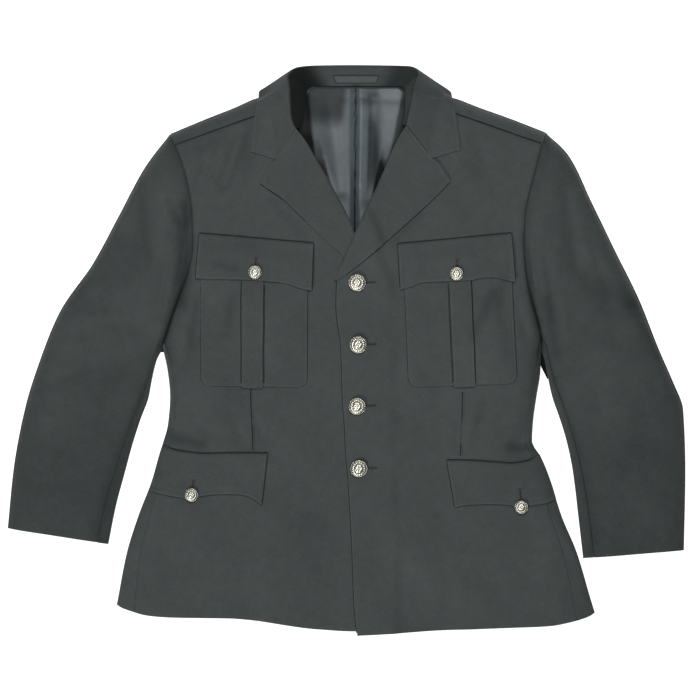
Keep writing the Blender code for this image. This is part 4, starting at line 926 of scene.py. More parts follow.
def back_plan(halves):
    """Back: one sheet on the floor, turned up at the sides to the side seams and over
    the shoulders to the shoulder seams."""
    right, left = halves
    near = np.array([0, 1.2, 4.0])
    inner_parts = np.linspace(0, 1, BACK_COLUMNS - len(near) + 1)[1:]
    neck_parts = np.linspace(0, 1, NECK_COLUMNS + 1)[1:-1]

    def half_line(start, end):
        """Places from the side to the neck column: a few near the fold, then even ones."""
        way = (end - start) / np.linalg.norm(end - start)
        close = start + near[:, None] * way
        return np.concatenate([close, close[-1] + inner_parts[:, None] * (end - close[-1])])

    def full_line(start, neck_start, neck_end, end):
        first = half_line(start, neck_start)
        last = half_line(end, neck_end)[::-1]
        middle = neck_start + neck_parts[:, None] * (neck_end - neck_start)
        return np.concatenate([first, middle, last])

    neck_x = (right.shoulder[-1][0], left.shoulder[-1][0])
    rows, sides = [], []
    wraps = []
    for row in BODY_ROWS:
        edges = [half.side_point(row, HEM_BACK) for half in halves]
        starts = [np.array([edge[0], row]) for edge in edges]
        necks = [np.array([x, row]) for x in neck_x]
        line = full_line(starts[0], necks[0], necks[1], starts[1])
        line[:, 1] += right.hem_shift(line[:, 0], row, HEM_BACK)
        rows.append(line)
        sides.append(-np.ones(len(line)))
        wrap = []
        for half, edge in zip(halves, edges):
            inset = float(half.seam_inset(edge[1])) - SEAM_GAP / 2
            turned = edge[0] - half.out * inset * np.array([1.0, 0.3])
            shift = half.hem_shift(turned, row, HEM_BACK)
            wrap.append(np.stack([turned, row + shift], axis=-1))
        wraps.append(wrap)

    arms = [half.shift_armhole(-SEAM_GAP / 2) for half in halves]
    count = len(arms[0])
    rows.pop()
    sides.pop()
    low_necks = [np.array([x, BODY_ROWS[-1]]) for x in neck_x]
    bottom = full_line(arms[0][-1], low_necks[0], low_necks[1], arms[1][-1])

    def ridge_line(half, arm):
        """Places along the shoulder fold from the armhole to the neck."""
        fold = np.array(half.shoulder, dtype=float)
        fold[0] = arm[0]
        length = run_length(dense(fold, 200))[-1]
        places = np.concatenate([near, near[-1] + inner_parts * (length - near[-1])])
        return along(fold, places / length)

    ridges = [ridge_line(half, arm) for half, arm in zip(halves, arms)]
    neck_start, neck_end = ridges[0][-1], ridges[1][-1]
    neck_line = neck_start + neck_parts[:, None] * (neck_end - neck_start)
    ridge = np.concatenate([ridges[0], neck_line, ridges[1][::-1]])
    width = ridge[:, 0]
    across = ((width - width[0]) / (width[-1] - width[0]))[:, None]
    for number in range(count - 1, -1, -1):
        start, end = arms[0][number], arms[1][number]
        part = 1 - right.stations[number] / right.stations[-1]
        line = (1 - part) * bottom + part * ridge
        line += (1 - across) * (start - line[0]) + across * (end - line[-1])
        rows.append(line)
        sides.append(-np.ones(len(line)))
    rows_under = len(rows)

    seam_row = []
    for half, arm, fold in zip(halves, arms, ridges):
        seam_start = arm[SHOULDER_SEAM] + np.array([0, SHOULDER_GAP / 2])
        seam_end = half.neck + np.array([0, SHOULDER_GAP / 2])
        way = np.linalg.norm(fold - fold[0], axis=1) / np.linalg.norm(fold[-1] - fold[0])
        seam_row.append(seam_start + way[:, None] * (seam_end - seam_start))
    for number in range(1, SHOULDER_SEAM + 1):
        part = NEAR_FOLD[number] / NEAR_FOLD[SHOULDER_SEAM]
        turned = []
        for arm, fold, seam in zip(arms, ridges, seam_row):
            line = (1 - part) * fold + part * seam
            fade = np.linspace(1, 0, len(line))[:, None]
            turned.append(line + fade * (arm[number] - line[0]) * (number < SHOULDER_SEAM))
        middle = np.repeat(turned[0][-1:], len(neck_parts), axis=0)
        rows.append(np.concatenate([turned[0], middle, turned[1][::-1]]))
        sides.append(np.ones(len(ridge)))

    plan = np.array(rows)
    side = np.array(sides)
    total_rows, total_columns = plan.shape[:2]
    full = np.zeros((total_rows, total_columns + 4, 2))
    full_side = np.ones((total_rows, total_columns + 4))
    full[:, 2:-2] = plan
    full_side[:, 2:-2] = side
    body_rows = len(BODY_ROWS)
    for number in range(total_rows):
        if number < body_rows - 1:
            full[number, :2] = wraps[number][0]
            full[number, -2:] = wraps[number][1][::-1]
        elif number == body_rows - 1:
            full[number, :2] = arms[0][[-3, -2]]
            full[number, -2:] = arms[1][[-2, -3]]
        else:
            full[number, :2] = plan[number, :1]
            full[number, -2:] = plan[number, -1:]
    cells = np.ones((total_rows - 1, total_columns + 3), dtype=bool)
    cells[body_rows - 1:, :2] = False
    cells[body_rows - 1:, -2:] = False
    first_neck = 2 + BACK_COLUMNS - 1
    cells[rows_under - 1:, first_neck:first_neck + NECK_COLUMNS] = False

    return full, full_side, cells, rows_under


def keep_marks(numbers, marks):
    """Adds whole row or column numbers, and drops the places that would lie next to them."""
    far = abs(numbers[:, None] - np.array(marks, dtype=float)).min(axis=1) > 0.02
    return np.unique(np.concatenate([numbers[far], np.array(marks, dtype=float)]))


def pull_folds(plan, columns, fold, rows=slice(None), reach=1.6):
    """Moves the fold's column exactly onto the outline, and takes its neighbours along."""
    at = int(abs(columns - fold).argmin())
    shift = to_outline(plan[rows, at]) - plan[rows, at]
    fade = np.clip(1 - abs(columns - fold) / reach, 0, 1)
    plan[rows] = plan[rows] + shift[:, None] * fade[None, :, None]


def lay(name, plan, side, kind, relief, shade, material, cells=None, rise=0.0):
    """Lays a fine plan grid on the pillow's surface, and makes the piece."""
    points, normal = surface(plan[..., 0], plan[..., 1], side, kind)
    relief = np.where(np.asarray(side) > 0, relief, np.minimum(relief, 0.0))
    outer = points + normal * (relief + rise)[..., None]
    sheets[name] = (outer, normal)
    flat = plan * np.where(np.asarray(side) > 0, 1.0, -1.0)[..., None]
    return shell(name + "_cloth", outer, normal, THIN, material, name, flat, shade, cells)


full, full_side, coarse_cells, rows_under = back_plan((RIGHT, LEFT))
fold_row, armpit_row = rows_under - 1, len(BODY_ROWS) - 1
fold_columns = (2, full.shape[1] - 3)
neck_from = 2 + BACK_COLUMNS - 1
row_at = keep_marks(grid_places(full[:, 2:-2], 0, BACK_SPACING, folds=(fold_row,)), (armpit_row, fold_row))
column_at = keep_marks(grid_places(full[:armpit_row], 1, BACK_SPACING, folds=fold_columns),
                       (*fold_columns, neck_from, neck_from + NECK_COLUMNS))
plan = finer(full, row_at, column_at)
low_rows = row_at <= armpit_row
for fold in fold_columns:
    pull_folds(plan, column_at, fold, low_rows)
turned = plan.transpose(1, 0, 2)
for shoulder_part in (column_at <= neck_from, column_at >= neck_from + NECK_COLUMNS):
    pull_folds(turned, row_at, fold_row, shoulder_part)
beyond = (column_at < fold_columns[0]) | (column_at > fold_columns[1])
side = np.where(beyond[None] | (row_at > fold_row)[:, None], 1.0, -1.0)
cell_row = np.minimum(np.floor(row_at[:-1] + 1e-6).astype(int), len(coarse_cells) - 1)
cell_column = np.minimum(np.floor(column_at[:-1] + 1e-6).astype(int), coarse_cells.shape[1] - 1)
relief, shade = dress(side_runs(plan), seams=("high",))
relief = relief * (side > 0)
lay("back", plan, side, "body", relief, shade, WOOL, cells=coarse_cells[np.ix_(cell_row, cell_column)])
print("back:", plan.shape[:2])

# %% [markdown]
# ## The fronts and the lift of the overlap
#
# The left front closes over the right one, so along the buttons it is lifted by the cloth beneath,
# and higher up by the folded lapel as well.

# %% Fronts
FRONT_COLUMNS = np.array([0, 0.02, 0.055, 0.105, 0.17, 0.27, 0.38, 0.49, 0.60, 0.70, 0.77, 0.83, 0.88, 0.925,
                          0.965, 1])
GORGE_LEVEL = {"right": 289.0, "left": 293.0}  # where the neck edge turns off the roll line


def front_plan(half):
    """Plan places of a front: rows from the hem up to the shoulder seam."""
    rows = []
    for row in BODY_ROWS[:-1]:
        edge = half.side_point(row, HEM_BACK)
        inset = float(half.seam_inset(edge[1])) + SEAM_GAP / 2
        start = np.array([edge[0] - half.out * inset, row])
        end = np.array([hermite(half.inner, row), row])
        line = start + FRONT_COLUMNS[:, None] * (end - start)
        shift = half.hem_shift(line[:, 0], row, half.hem)
        line[:, 1] += shift
        rows.append(line)
    body_edge = half.shift_armhole(-SEAM_GAP / 2)
    last, first = len(body_edge) - 3, SHOULDER_SEAM
    corners = [body_edge[number][1] for number in (last, first + 2, first)]
    levels = [BODY_ROWS[-1], GORGE_LEVEL[half.name], half.neck[1]]
    for number in range(last, first - 1, -1):
        start = body_edge[number]
        level = np.interp(start[1], corners, levels)
        end = np.array([hermite(half.inner, level), level])
        rows.append(start + FRONT_COLUMNS[:, None] * (end - start))
    plan = np.array(rows)
    plan[-1, :, 1] -= SHOULDER_GAP / 2
    return plan


LIFT_REACH = 34.0     # how far past the under front's edge the lift over it begins
LIFT_RAMP = 18.0      # and over how much it grows to its full height
LAPEL_LIFT = 1.55     # more lift over the under lapel, in layers
LAPEL_BREAK = (54.0, 76.0)   # heights between which it sets in
LIFT_END = (160.0, 200.0)    # heights between which the fronts part


def overlap_lift(x, y):
    """How far the upper front is lifted over the under front and its lapel."""
    over = ease((hermite(INNER_RIGHT, y) + LIFT_REACH - x) / LIFT_RAMP)
    lapel = LAPEL_LIFT * ease((y - LAPEL_BREAK[0]) / (LAPEL_BREAK[1] - LAPEL_BREAK[0]))
    return over * PITCH * (1 + lapel) * ease((LIFT_END[1] - y) / (LIFT_END[1] - LIFT_END[0]))


for half in (RIGHT, LEFT):
    coarse = front_plan(half)
    plan = finer(coarse, grid_places(coarse, 0, FRONT_SPACING), grid_places(coarse, 1, FRONT_SPACING))
    runs = side_runs(plan)
    relief, shade = dress(runs, seams=("high",), edges=("last",))
    armhole = 0.15 + 0.85 * ease((plan[..., 1] + 10) / 20)
    relief = relief + seam_relief(runs["first"]) * armhole
    # Painted shade beside the armhole seam: a dark line along it and, from the armpit up to the chest, a wider dark
    # band, as the shade in the valley between body and sleeve.
    shade = shade * (1 - 0.45 * armhole * np.exp(-(runs["first"] / 1.8) ** 2))
    low_end = ease((plan[..., 1] + 30) / 40) * ease((150 - plan[..., 1]) / 120)
    shade = shade * (1 - 0.3 * low_end * np.exp(-(runs["first"] / 9) ** 2))
    shade = shade * (1 - 0.55 * low_end * np.exp(-(runs["first"] / 3) ** 2))
    relief = relief - 0.3 * np.exp(-(runs["low"] / 1.0) ** 2)
    lifted = overlap_lift(plan[..., 0], plan[..., 1]) if half.name == "left" else 0.0
    lay("front_" + half.name, plan, np.ones(plan.shape[:2]), "body", relief, shade, WOOL, rise=lifted)
    print("front_" + half.name, plan.shape[:2])

# %% [markdown]
# ## The sleeves
#
# A tailored sleeve has two parts. Its outer fold lies along the outline, so the seam of the upper
# part runs beneath, and the forearm seam shows as a faint line inside the inner fold: a shallow
# dip with a little painted shade. At the top the upper part is eased into the armhole, which
# leaves a small roll of fullness below the seam.

# %% Sleeves
SLEEVE_ROWS = 16
FIRST_ROW = (22.0, 7.0)   # the first row's distance from the armhole: at the shoulder, at the armpit
FOREARM_TURN = 9.0    # inside the inner fold, on the upper side: the seam is one station further in
HINDARM_SEAM = 6      # station of the seam beneath, next to the outer fold


def relax(grid, rounds=160):
    """Evens out a plan grid: each inner point moves to the middle of its neighbours."""
    for _ in range(rounds):
        around = grid[:-2, 1:-1] + grid[2:, 1:-1] + grid[1:-1, :-2] + grid[1:-1, 2:]
        grid[1:-1, 1:-1] = around / 4
    return grid


def sleeve_plan(half):
    """Plan places of a sleeve: rows from the armhole to the cuff, stations across."""
    arm = half.shift_armhole(SEAM_GAP / 2)
    near = len(NEAR_FOLD)
    coarse_arm = np.concatenate([arm[:1], arm[near:-3], arm[-1:]])
    parts = np.concatenate([[0.0], half.stations[near:-3], half.stations[-1:]]) / half.stations[-1]
    places = np.linspace(0, 1, SLEEVE_ROWS)
    outer = along(half.sleeve_outer, places)
    inner = along(half.sleeve_inner, places)
    outer[0], inner[0] = arm[0], arm[-1]
    lines = outer[:, None] + parts[None, :, None] * (inner - outer)[:, None]
    bow = (coarse_arm - lines[0])[None] * (1 - ease(places / 0.5))[:, None, None]
    run = np.gradient(coarse_arm, axis=0)
    away = unit(np.stack([-run[:, 1], run[:, 0]], axis=-1)) * half.out
    coarse = lines + bow
    coarse[0] = coarse_arm
    coarse[1, 1:-1] = (coarse_arm + away * np.linspace(*FIRST_ROW, len(away))[:, None])[1:-1]
    coarse[1:] = relax(coarse[1:])
    start, whole = NEAR_FOLD[-1], half.stations[-1]
    middle = (half.stations[near:-3] - start) / (whole - NEAR_ARMPIT[0] - start)
    rows = []
    for number, line in enumerate(coarse):
        length = run_length(line)[-1]
        seam = NEAR_ARMPIT[0] + (FOREARM_TURN - NEAR_ARMPIT[0]) * ease(places[number] / 0.35)
        turn = length - seam
        across = [*NEAR_FOLD, *(start + middle * (turn - start)), turn, length - 0.3 * seam, length]
        rows.append(along(line, np.array(across) / length))
    rows[0] = arm
    return np.array(rows)



SEWN_GAP = 0.04       # the two parts almost touch at their seams


def sleeve_parts(half):
    """The coarse plans of the upper and the under part, each with its fold's column."""
    plan = sleeve_plan(half)
    hind = HINDARM_SEAM
    fore = plan.shape[1] - 4

    def moved(line, towards):
        wider = np.interp(np.arange(len(line)), [0, 1, 2, 3, 5], [4.0, 4.0, 3.2, 2.4, 1.0])
        return line + unit(towards - line) * SEWN_GAP * wider[:, None]

    top = np.concatenate([plan[:, hind:0:-1], plan[:, :fore + 1]], axis=1)
    under = np.concatenate([plan[:, hind:], plan[:, -2:fore - 1:-1]], axis=1)
    for part in (top, under):
        part[:, 0] = moved(part[:, 0], part[:, 1])
        part[:, -1] = moved(part[:, -1], part[:, -2])
    return ("top_sleeve_", top, hind, -1.0), ("under_sleeve_", under, plan.shape[1] - 1 - hind, -1.0)


for half in (RIGHT, LEFT):
    for part_name, coarse, fold, first_side in sleeve_parts(half):
        row_at = grid_places(coarse, 0, FRONT_SPACING)
        column_at = keep_marks(grid_places(coarse, 1, FRONT_SPACING, folds=(fold,)), (fold,))
        plan = finer(coarse, row_at, column_at)
        pull_folds(plan, column_at, fold)
        side = np.broadcast_to(np.where(column_at < fold, first_side, 1.0), plan.shape[:2])
        runs = side_runs(plan)
        relief, shade = dress(runs, seams=("low",))
        # Painted shade: a band beside the armhole, wider on the right sleeve and darkest at its lower end; the whole
        # sleeve a little darker, and darker still towards the cuff, as the light falls off there; a darker strip
        # inside the inner fold from the armpit down; and faint dark lines at the seams.
        low_end = ease((150 - plan[..., 1]) / 120)
        reach = 16.0 if half.name == "right" else 9.0
        shade = shade * (1 - (0.2 + 0.3 * low_end) * np.exp(-(runs["low"] / reach) ** 2))
        shade = shade * (1 - 0.55 * low_end * np.exp(-(runs["low"] / 3) ** 2))
        shade = shade * (0.93 - 0.14 * ease((80 - plan[..., 1]) / 260))
        shade = shade * (1 - 0.2 * np.exp(-(runs["last"] / 10) ** 2) * ease((60 - plan[..., 1]) / 60))
        for seam in ("first", "last"):
            relief = relief - 0.25 * np.exp(-(runs[seam] / 1.3) ** 2)
            shade = shade * (1 - 0.08 * np.exp(-(runs[seam] / 1.3) ** 2))
        if part_name == "top_sleeve_":
            relief = relief + 0.8 * np.exp(-((runs["low"] - 8) / 5) ** 2)
        relief = relief - 0.3 * np.exp(-(runs["high"] / 1.0) ** 2)
        lay(part_name + half.name, plan, side, "sleeve", relief, shade, WOOL)
        print(part_name + half.name, plan.shape[:2])

# %% [markdown]
# ## Underarm
#
# Right under the arm the sleeve and the body part slowly, and deep in the notch more of the
# sleeve's cloth shows. It lies in full shadow, so its colour is painted almost black as that
# shadow. Each row is read across from body to sleeve.

# %% Underarm
UNDERARM = {
    # name: rows of X at the body, X at the sleeve, Y
    "right": [(-232.0, -242.0, 34.0), (-235.0, -246.0, 14.0), (-238.0, -247.0, 4.0), (-241.5, -246.0, -3.0)],
    "left": [(247.0, 258.0, 34.0), (250.0, 263.0, 12.0), (252.0, 268.0, -8.0), (257.0, 270.5, -22.0), (265.0, 270.0, -38.0)],
}
UNDERARM_AT = 2.2     # height over the table, between the lower and the upper cloth
for half in (RIGHT, LEFT):
    rows = np.array(UNDERARM[half.name])
    row_at = np.linspace(0, len(rows) - 1, 20)
    across = np.linspace(0, 1, 7)
    near, far, y = (np.interp(row_at, np.arange(len(rows)), rows[:, k]) for k in range(3))
    x = near[:, None] + across * (far - near)[:, None]
    points = np.stack([x, np.repeat(y[:, None], 7, axis=1), np.full(x.shape, UNDERARM_AT)], axis=-1)
    up = np.zeros(points.shape)
    up[..., 2] = 1.0
    # The strip's shade of 0.12 is painted shadow.
    shell("underarm_cloth_" + half.name, points, up, 1.0, WOOL, "under_sleeve_" + half.name,
          shade=np.full(x.shape, 0.12))
print("underarm done")

# %% [markdown]
# ## Collar
#
# Stand and fall are one piece. bend is a cubic with given ways out and in, first up the stand and
# then over and down the fall. Lying down, the collar opens at the front and folds flat behind the
# neck, so the way that each section turns over is read from the table too.

# %% Collar
# Collar: where it meets the neck, its roll and its free edge. The middle is shared.
COLLAR_RIGHT = [
    # neck x, y, z, roll x, y, z, edge x, y, z, turn of the roll in degrees
    (-62, 292, 26, -67, 290, 31, -126, 260, 0, 0),
    (-57, 306, 20, -74, 304, 32, -123, 286, 0, 0),
    (-54, 322, 15, -76, 323, 32, -120, 309, 0, 0),
    (-53, 335, 12, -77, 344, 27, -117, 328, 0, 15),
    (-51, 345, 9, -79, 360, 17, -116, 341, 4, 50),
    (-44, 348.5, 5.6, -64, 373, 10, -94, 349, 0, 80),
    (-24, 348.5, 5.2, -40, 375.5, 7, -52, 338, 0, 90),
]
COLLAR_MIDDLE = (7, 348.5, 5.2, 8, 376, 7, 8, 335, 0, 90)
COLLAR_LEFT = [
    (73, 296, 26, 79, 294, 31, 149, 262, 0, 0),
    (76, 308, 20, 82, 308, 32, 146, 286, 0, 0),
    (77, 323, 15, 86, 324, 32, 143, 311, 0, 0),
    (77, 335, 12, 90, 346, 27, 141, 329, 0, 15),
    (75, 345, 9, 96, 364, 17, 138, 341, 4, 50),
    (68, 348.5, 5.6, 86, 374, 10, 116, 350, 0, 80),
    (42, 348.5, 5.2, 56, 375.5, 7, 70, 338, 0, 90),
]
GORGE_CORNER = 0.6    # share of the fall's end that is the gorge seam
GORGE_PULL = {"right": (10.0, -22.0), "left": (-8.6, -23.6)}
COLLAR_STATIONS = 33
STAND_PARTS = (0.0, 0.35, 0.7, 0.9)
FALL_PARTS = (0.0, 0.08, 0.25, 0.45, GORGE_CORNER, 0.8, 1.0)


def bend(start, end, leave, arrive, part):
    """Cubic between two points with the given ways out and in."""
    part = np.asarray(part)[:, None]
    return ((2 * part**3 - 3 * part**2 + 1) * start + (part**3 - 2 * part**2 + part) * leave
            + (3 * part**2 - 2 * part**3) * end + (part**3 - part**2) * arrive)


def collar_grid():
    """Outer points of the collar: rows round the neck, and up the stand and down the fall."""
    table = np.array(COLLAR_RIGHT + [COLLAR_MIDDLE] + COLLAR_LEFT[::-1], dtype=float)
    run = run_length(table[:, 3:6])
    places = np.linspace(0, run[-1], COLLAR_STATIONS)
    columns = [hermite(list(zip(run, table[:, k])), places) for k in range(table.shape[1])]
    values = np.stack(columns, axis=-1)
    neck_middle = np.array([CENTRE_X, 330.0])
    rows = []
    for place, value in zip(places, values):
        neck, roll, edge = value[0:3], value[3:6], value[6:9]
        turn = math.radians(value[9])
        away = unit(roll[:2] - neck_middle)
        if value[9] < 45:
            away = np.array([np.sign(roll[0] - CENTRE_X), 0.0])
        way = np.array([*(away * math.cos(turn)), -math.sin(turn)])
        stand_length = np.linalg.norm(roll - neck)
        stand = bend(neck, roll, (roll - neck) * 0.8 + np.array([0, 0, 0.5 * stand_length * math.cos(turn)]),
                     way * stand_length * 0.7, STAND_PARTS)
        fall_length = np.linalg.norm(edge[:2] - roll[:2])
        down = (edge - roll) * np.array([1, 1, 0.3])
        fall = bend(roll, edge, way * fall_length * 0.35, down, FALL_PARTS)
        side = "right" if roll[0] < CENTRE_X else "left"
        from_end = min(place, run[-1] - place)
        pull = 1 - ease(from_end / 45)
        parts = np.array(FALL_PARTS)
        tent = np.where(parts < GORGE_CORNER, parts / GORGE_CORNER, (1 - parts) / (1 - GORGE_CORNER))
        flat = roll[:2] + parts[:, None] * (edge[:2] - roll[:2])
        flat = flat + tent[:, None] * np.array(GORGE_PULL[side]) * pull
        on_top = ease((40 - value[9]) / 25)
        base, normal = surface(flat[:, 0], flat[:, 1], np.ones(len(flat)))
        laid = base + normal * (PITCH + 0.5 + value[9] / 20)
        straight = roll[2] + (laid[-1, 2] - roll[2]) * parts ** 0.8
        laid[:, 2] = np.maximum(laid[:, 2], straight)
        fall[:, 2] = np.maximum(fall[:, 2], 0)
        rows.append(np.concatenate([stand, on_top * laid + (1 - on_top) * fall]))
    return np.array(rows)


collar_points = collar_grid()
collar_fine = finer(collar_points, grid_places(collar_points, 0, 3.0), grid_places(collar_points, 1, 2.4))
collar_way = grid_normals(collar_fine)
collar_way = collar_way * np.sign(collar_way[len(collar_way) // 2, 3, 2])
relief, shade = dress(side_runs(collar_fine), edges=("last", "low", "high"))
row_at, column_at = grid_places(collar_points, 0, 3.0), grid_places(collar_points, 1, 2.4)
# Painted shade on the inside of the stand at both sides of the neck, where it faces into shade, darker on the
# wearer's right, and a faint painted shade over the whole stand.
from_middle = abs(row_at / (COLLAR_STATIONS - 1) - 0.5) * 2
within = 1 - ease((column_at - 2.6) / 1.0)
depth = np.where(collar_fine[:, 0, 0] > COLLAR_MIDDLE_X, 0.55, 0.78)
shade = shade * (1 - (depth * ease((from_middle - 0.22) / 0.18))[:, None] * within[None])
shade = shade * (1 - 0.03 * within[None])
outer = collar_fine + collar_way * relief[..., None]
sheets["collar"] = (outer, collar_way)
shell("collar_cloth", outer, collar_way, THIN, WOOL, "collar", shade=shade)
print("collar:", outer.shape[:2])

# %% [markdown]
# ## Lapels
#
# A lapel isn't pressed flat along its roll line. It comes up from beneath, turns over a small
# radius and settles on the chest, so its section starts under the roll line and rises first.

# %% Lapels
def on_front(half, x, y, rise, lean=0.0):
    """Points on a front moved out by rise, and their normals.

    lean carries the lift over the under front that much further out.
    """
    base, normal = surface(x, y, np.ones_like(x))
    lift = overlap_lift(x - lean, y) if half.name == "left" else 0.0
    return base + normal * (np.asarray(rise) + lift)[..., None], normal


# Lapels: height of the roll line, and the free edge there, from the break to the notch.
LAPEL_RIGHT = [
    # roll y, edge x, edge y
    (88, 28, 94),
    (111, 3, 117),
    (147, -22, 139),
    (176, -45, 161),
    (204, -66, 181),
    (236, -86, 200),
    (268, -101, 210),
    (288, -113, 218),
]
LAPEL_LEFT = [
    (91, -7, 94),
    (117, 18, 113),
    (144, 38, 130),
    (182, 61, 150),
    (223, 90, 176),
    (268, 118, 202),
    (292, 137, 222),
]
# Top edge of a lapel past the roll: the gorge seam's end, the notch and the tip.
LAPEL_TOP = {
    "right": [(0.55, -92.8, 249.0), (0.64, -98.6, 244.6), (1.0, -113, 218)],
    "left": [(0.55, 112.2, 250.0), (0.64, 119.2, 246.4), (1.0, 137, 222)],
}
LAPEL_ROWS = 14
LAPEL_LEAN = 12.0
# Section of a lapel from under the roll line to its free edge.
LAPEL_SECTION = [
    # part of the width, beyond the roll line, rise
    (0.0, 2.9, -1.0),
    (0.0, 3.5, 1.0),
    (0.0, 1.8, 3.5),
    (0.10, 0.0, 4.4),
    (0.28, 0.0, 3.6),
    (0.55, 0.0, 2.8),
    (0.64, 0.0, 2.8),
    (0.82, 0.0, 2.6),
    (1.0, 0.0, 2.5),
]


GORGE_AT = 0.55       # where along a lapel's top edge the gorge seam ends
GORGE_GAP = 0.35


def lapel_grid(half, table, flat_until):
    """Plan places and rise of a lapel, with its section across and the roll line down."""
    table = np.array(table, dtype=float)
    parts = np.linspace(0.0, 0.998, LAPEL_ROWS)
    roll_y = along(table[:, [0, 0]], parts)[:, 0]
    roll = np.stack([hermite(half.inner, roll_y), roll_y], axis=-1)
    places = run_length(table[:, 1:])
    edge = along(table[:, 1:], np.interp(roll_y, table[:, 0], places) / places[-1])
    top = [(0.0, *roll[-1])] + LAPEL_TOP[half.name]
    run = unit(np.gradient(roll, axis=0))
    beyond_way = np.stack([run[:, 1], -run[:, 0]], axis=-1) * -half.out
    pull = ease((parts - 0.72) / 0.28)[:, None]
    soft = ease((parts - flat_until) / 0.2)
    grid = []
    for part, beyond, high in LAPEL_SECTION:
        straight = roll[-1] + part * (edge[-1] - roll[-1])
        bent = np.array([np.interp(part, [row[0] for row in top], [row[k] for row in top]) for k in (1, 2)])
        clear = beyond * (1 + 0.4 * ease((parts - 0.8) / 0.15))[:, None]
        place = roll + part * (edge - roll) + beyond_way * clear + (bent - straight) * pull
        grid.append(np.column_stack([place, high * soft + min(high, PITCH) * (1 - soft)]))
    return np.array(grid).transpose(1, 0, 2)


def meet_collar(half, points, down, column_at):
    """Draws the top of a lapel up to the collar's end, so that the gorge seam lies flat."""
    end = collar_points[0 if half.name == "right" else -1][len(STAND_PARTS):]
    part = np.interp(column_at, np.arange(len(LAPEL_SECTION)), [row[0] for row in LAPEL_SECTION])
    place = np.clip(part / GORGE_AT, 0, 1) * GORGE_CORNER
    goal = np.stack([np.interp(place, FALL_PARTS, end[:, k]) for k in range(3)], axis=-1)
    shift = (goal - points[-1]) * (1 - ease((part - GORGE_AT) / 0.12))[:, None]
    size = np.maximum(np.linalg.norm(shift, axis=-1), 1e-6)
    shift = shift * np.clip(1 - GORGE_GAP / size, 0, 1)[:, None]
    return points + shift[None] * ease((down - 0.62) / 0.38)[:, None, None]


def facing_up(points):
    normal = grid_normals(points)
    return normal * np.sign(normal[:, -2:, 2].mean())


for half, table, flat_until in ((RIGHT, LAPEL_RIGHT, 0.35), (LEFT, LAPEL_LEFT, 0.05)):
    coarse = lapel_grid(half, table, flat_until)
    row_at, column_at = grid_places(coarse, 0, 3.0), grid_places(coarse, 1, 2.4, start=False)
    grid = finer(coarse, row_at, column_at)
    points, _ = on_front(half, grid[..., 0], grid[..., 1], grid[..., 2], LAPEL_LEAN)
    points = meet_collar(half, points, row_at / (LAPEL_ROWS - 1), column_at)
    normal = facing_up(points)
    relief, shade = dress(side_runs(points), edges=("last", "high"))
    outer = points + normal * relief[..., None]
    sheets["lapel_" + half.name] = (outer, normal)
    shell("lapel_%s_cloth" % half.name, outer, normal, THIN - 0.1, WOOL, "lapel_" + half.name,
          shade=shade)
print("lapels:", outer.shape[:2])

# %% [markdown]
# ## Breast pockets
#
# A patch pocket: the pouch stands a little proud between its sewn edges, the box pleat lies down
# its middle, and the flap covers its mouth. pouch_rise is near zero at the sewn edge and flat in
# the middle, like a cushion with a stiff rim.

# %% Breast pockets
# Breast pockets. Corners run top outer, top inner, low outer, low inner.
BREAST_POCKETS = {
    "right": {
        "flap": ((-193, 153), (-43, 140), (-197, 94), (-46, 78)),
        "pouch": ((-191, 114), (-51, 104), (-191, -47), (-52, -49)),
        "button": (-120, 102),
    },
    "left": {
        "flap": ((216, 153), (67, 139), (222, 89), (71, 79)),
        "pouch": ((216, 114), (75, 104), (224, -44), (82, -49)),
        "button": (145, 100),
    },
}
POUCH_CORNER = 12.0          # radius of the pouch's lower corners
POUCH_PUFF = 1.6             # how far its middle stands proud of its sewn edge
PLEAT_PARTS = (0.385, 0.585)  # the box pleat, as shares of the pouch's width
PLEAT_WALL = WALL - 0.2
FLAP_SEWN = 2.2              # height of the flap's outer face along its seam
FLAP_LOOSE = 5.4             # and along its free edge
FLAP_BELLY = 2.2             # more than that over the pleat and the button
# The flap's lower edge: how far it lies above the straight line between its corners.
FLAP_EDGE = {
    # part of the width from the armhole side, up
    "right": [(0.0, 0.0), (0.05, 0.3), (0.2, 2.0), (0.4, 4.0), (0.55, 5.0), (0.73, 6.0), (0.83, 4.2),
              (0.93, 0.5), (1.0, 0.0)],
    "left": [(0.0, 0.0), (0.083, 3.3), (0.19, 8.0), (0.285, 9.0), (0.39, 6.5), (0.5, 6.1), (0.65, 6.6),
             (0.825, 7.1), (0.907, 2.8), (1.0, 0.0)],
}


def quad(corners, u, v):
    """Plan place inside four corners: top outer, top inner, low outer, low inner."""
    top_out, top_in, low_out, low_in = (np.array(corner, dtype=float) for corner in corners)
    u, v = np.asarray(u)[..., None], np.asarray(v)[..., None]
    return (1 - v) * ((1 - u) * top_out + u * top_in) + v * ((1 - u) * low_out + u * low_in)


def pouch_rise(u, v):
    swell = np.clip(16 * u * (1 - u) * np.clip(v, 0, 1) * (1 - np.clip(v, 0, 1)), 0, 1)
    return PITCH + POUCH_PUFF * np.sqrt(swell)



def grid_of(width, height, spacing):
    """Shares across and down for a piece of about that size."""
    return np.meshgrid(cuts(width, spacing) / width, cuts(height, spacing) / height)


def patch(name, half, plan, rise, seams, edges, stitch, thickness=THIN):
    """A piece laid on a front: dressed along its sides and made."""
    points, normal = on_front(half, plan[..., 0], plan[..., 1], rise)
    relief, shade = dress(side_runs(points), seams, edges, stitch)
    outer = points + normal * relief[..., None]
    sheets[name] = (outer, normal)
    shell(name + "_cloth", outer, normal, thickness, WOOL, name, shade=shade)


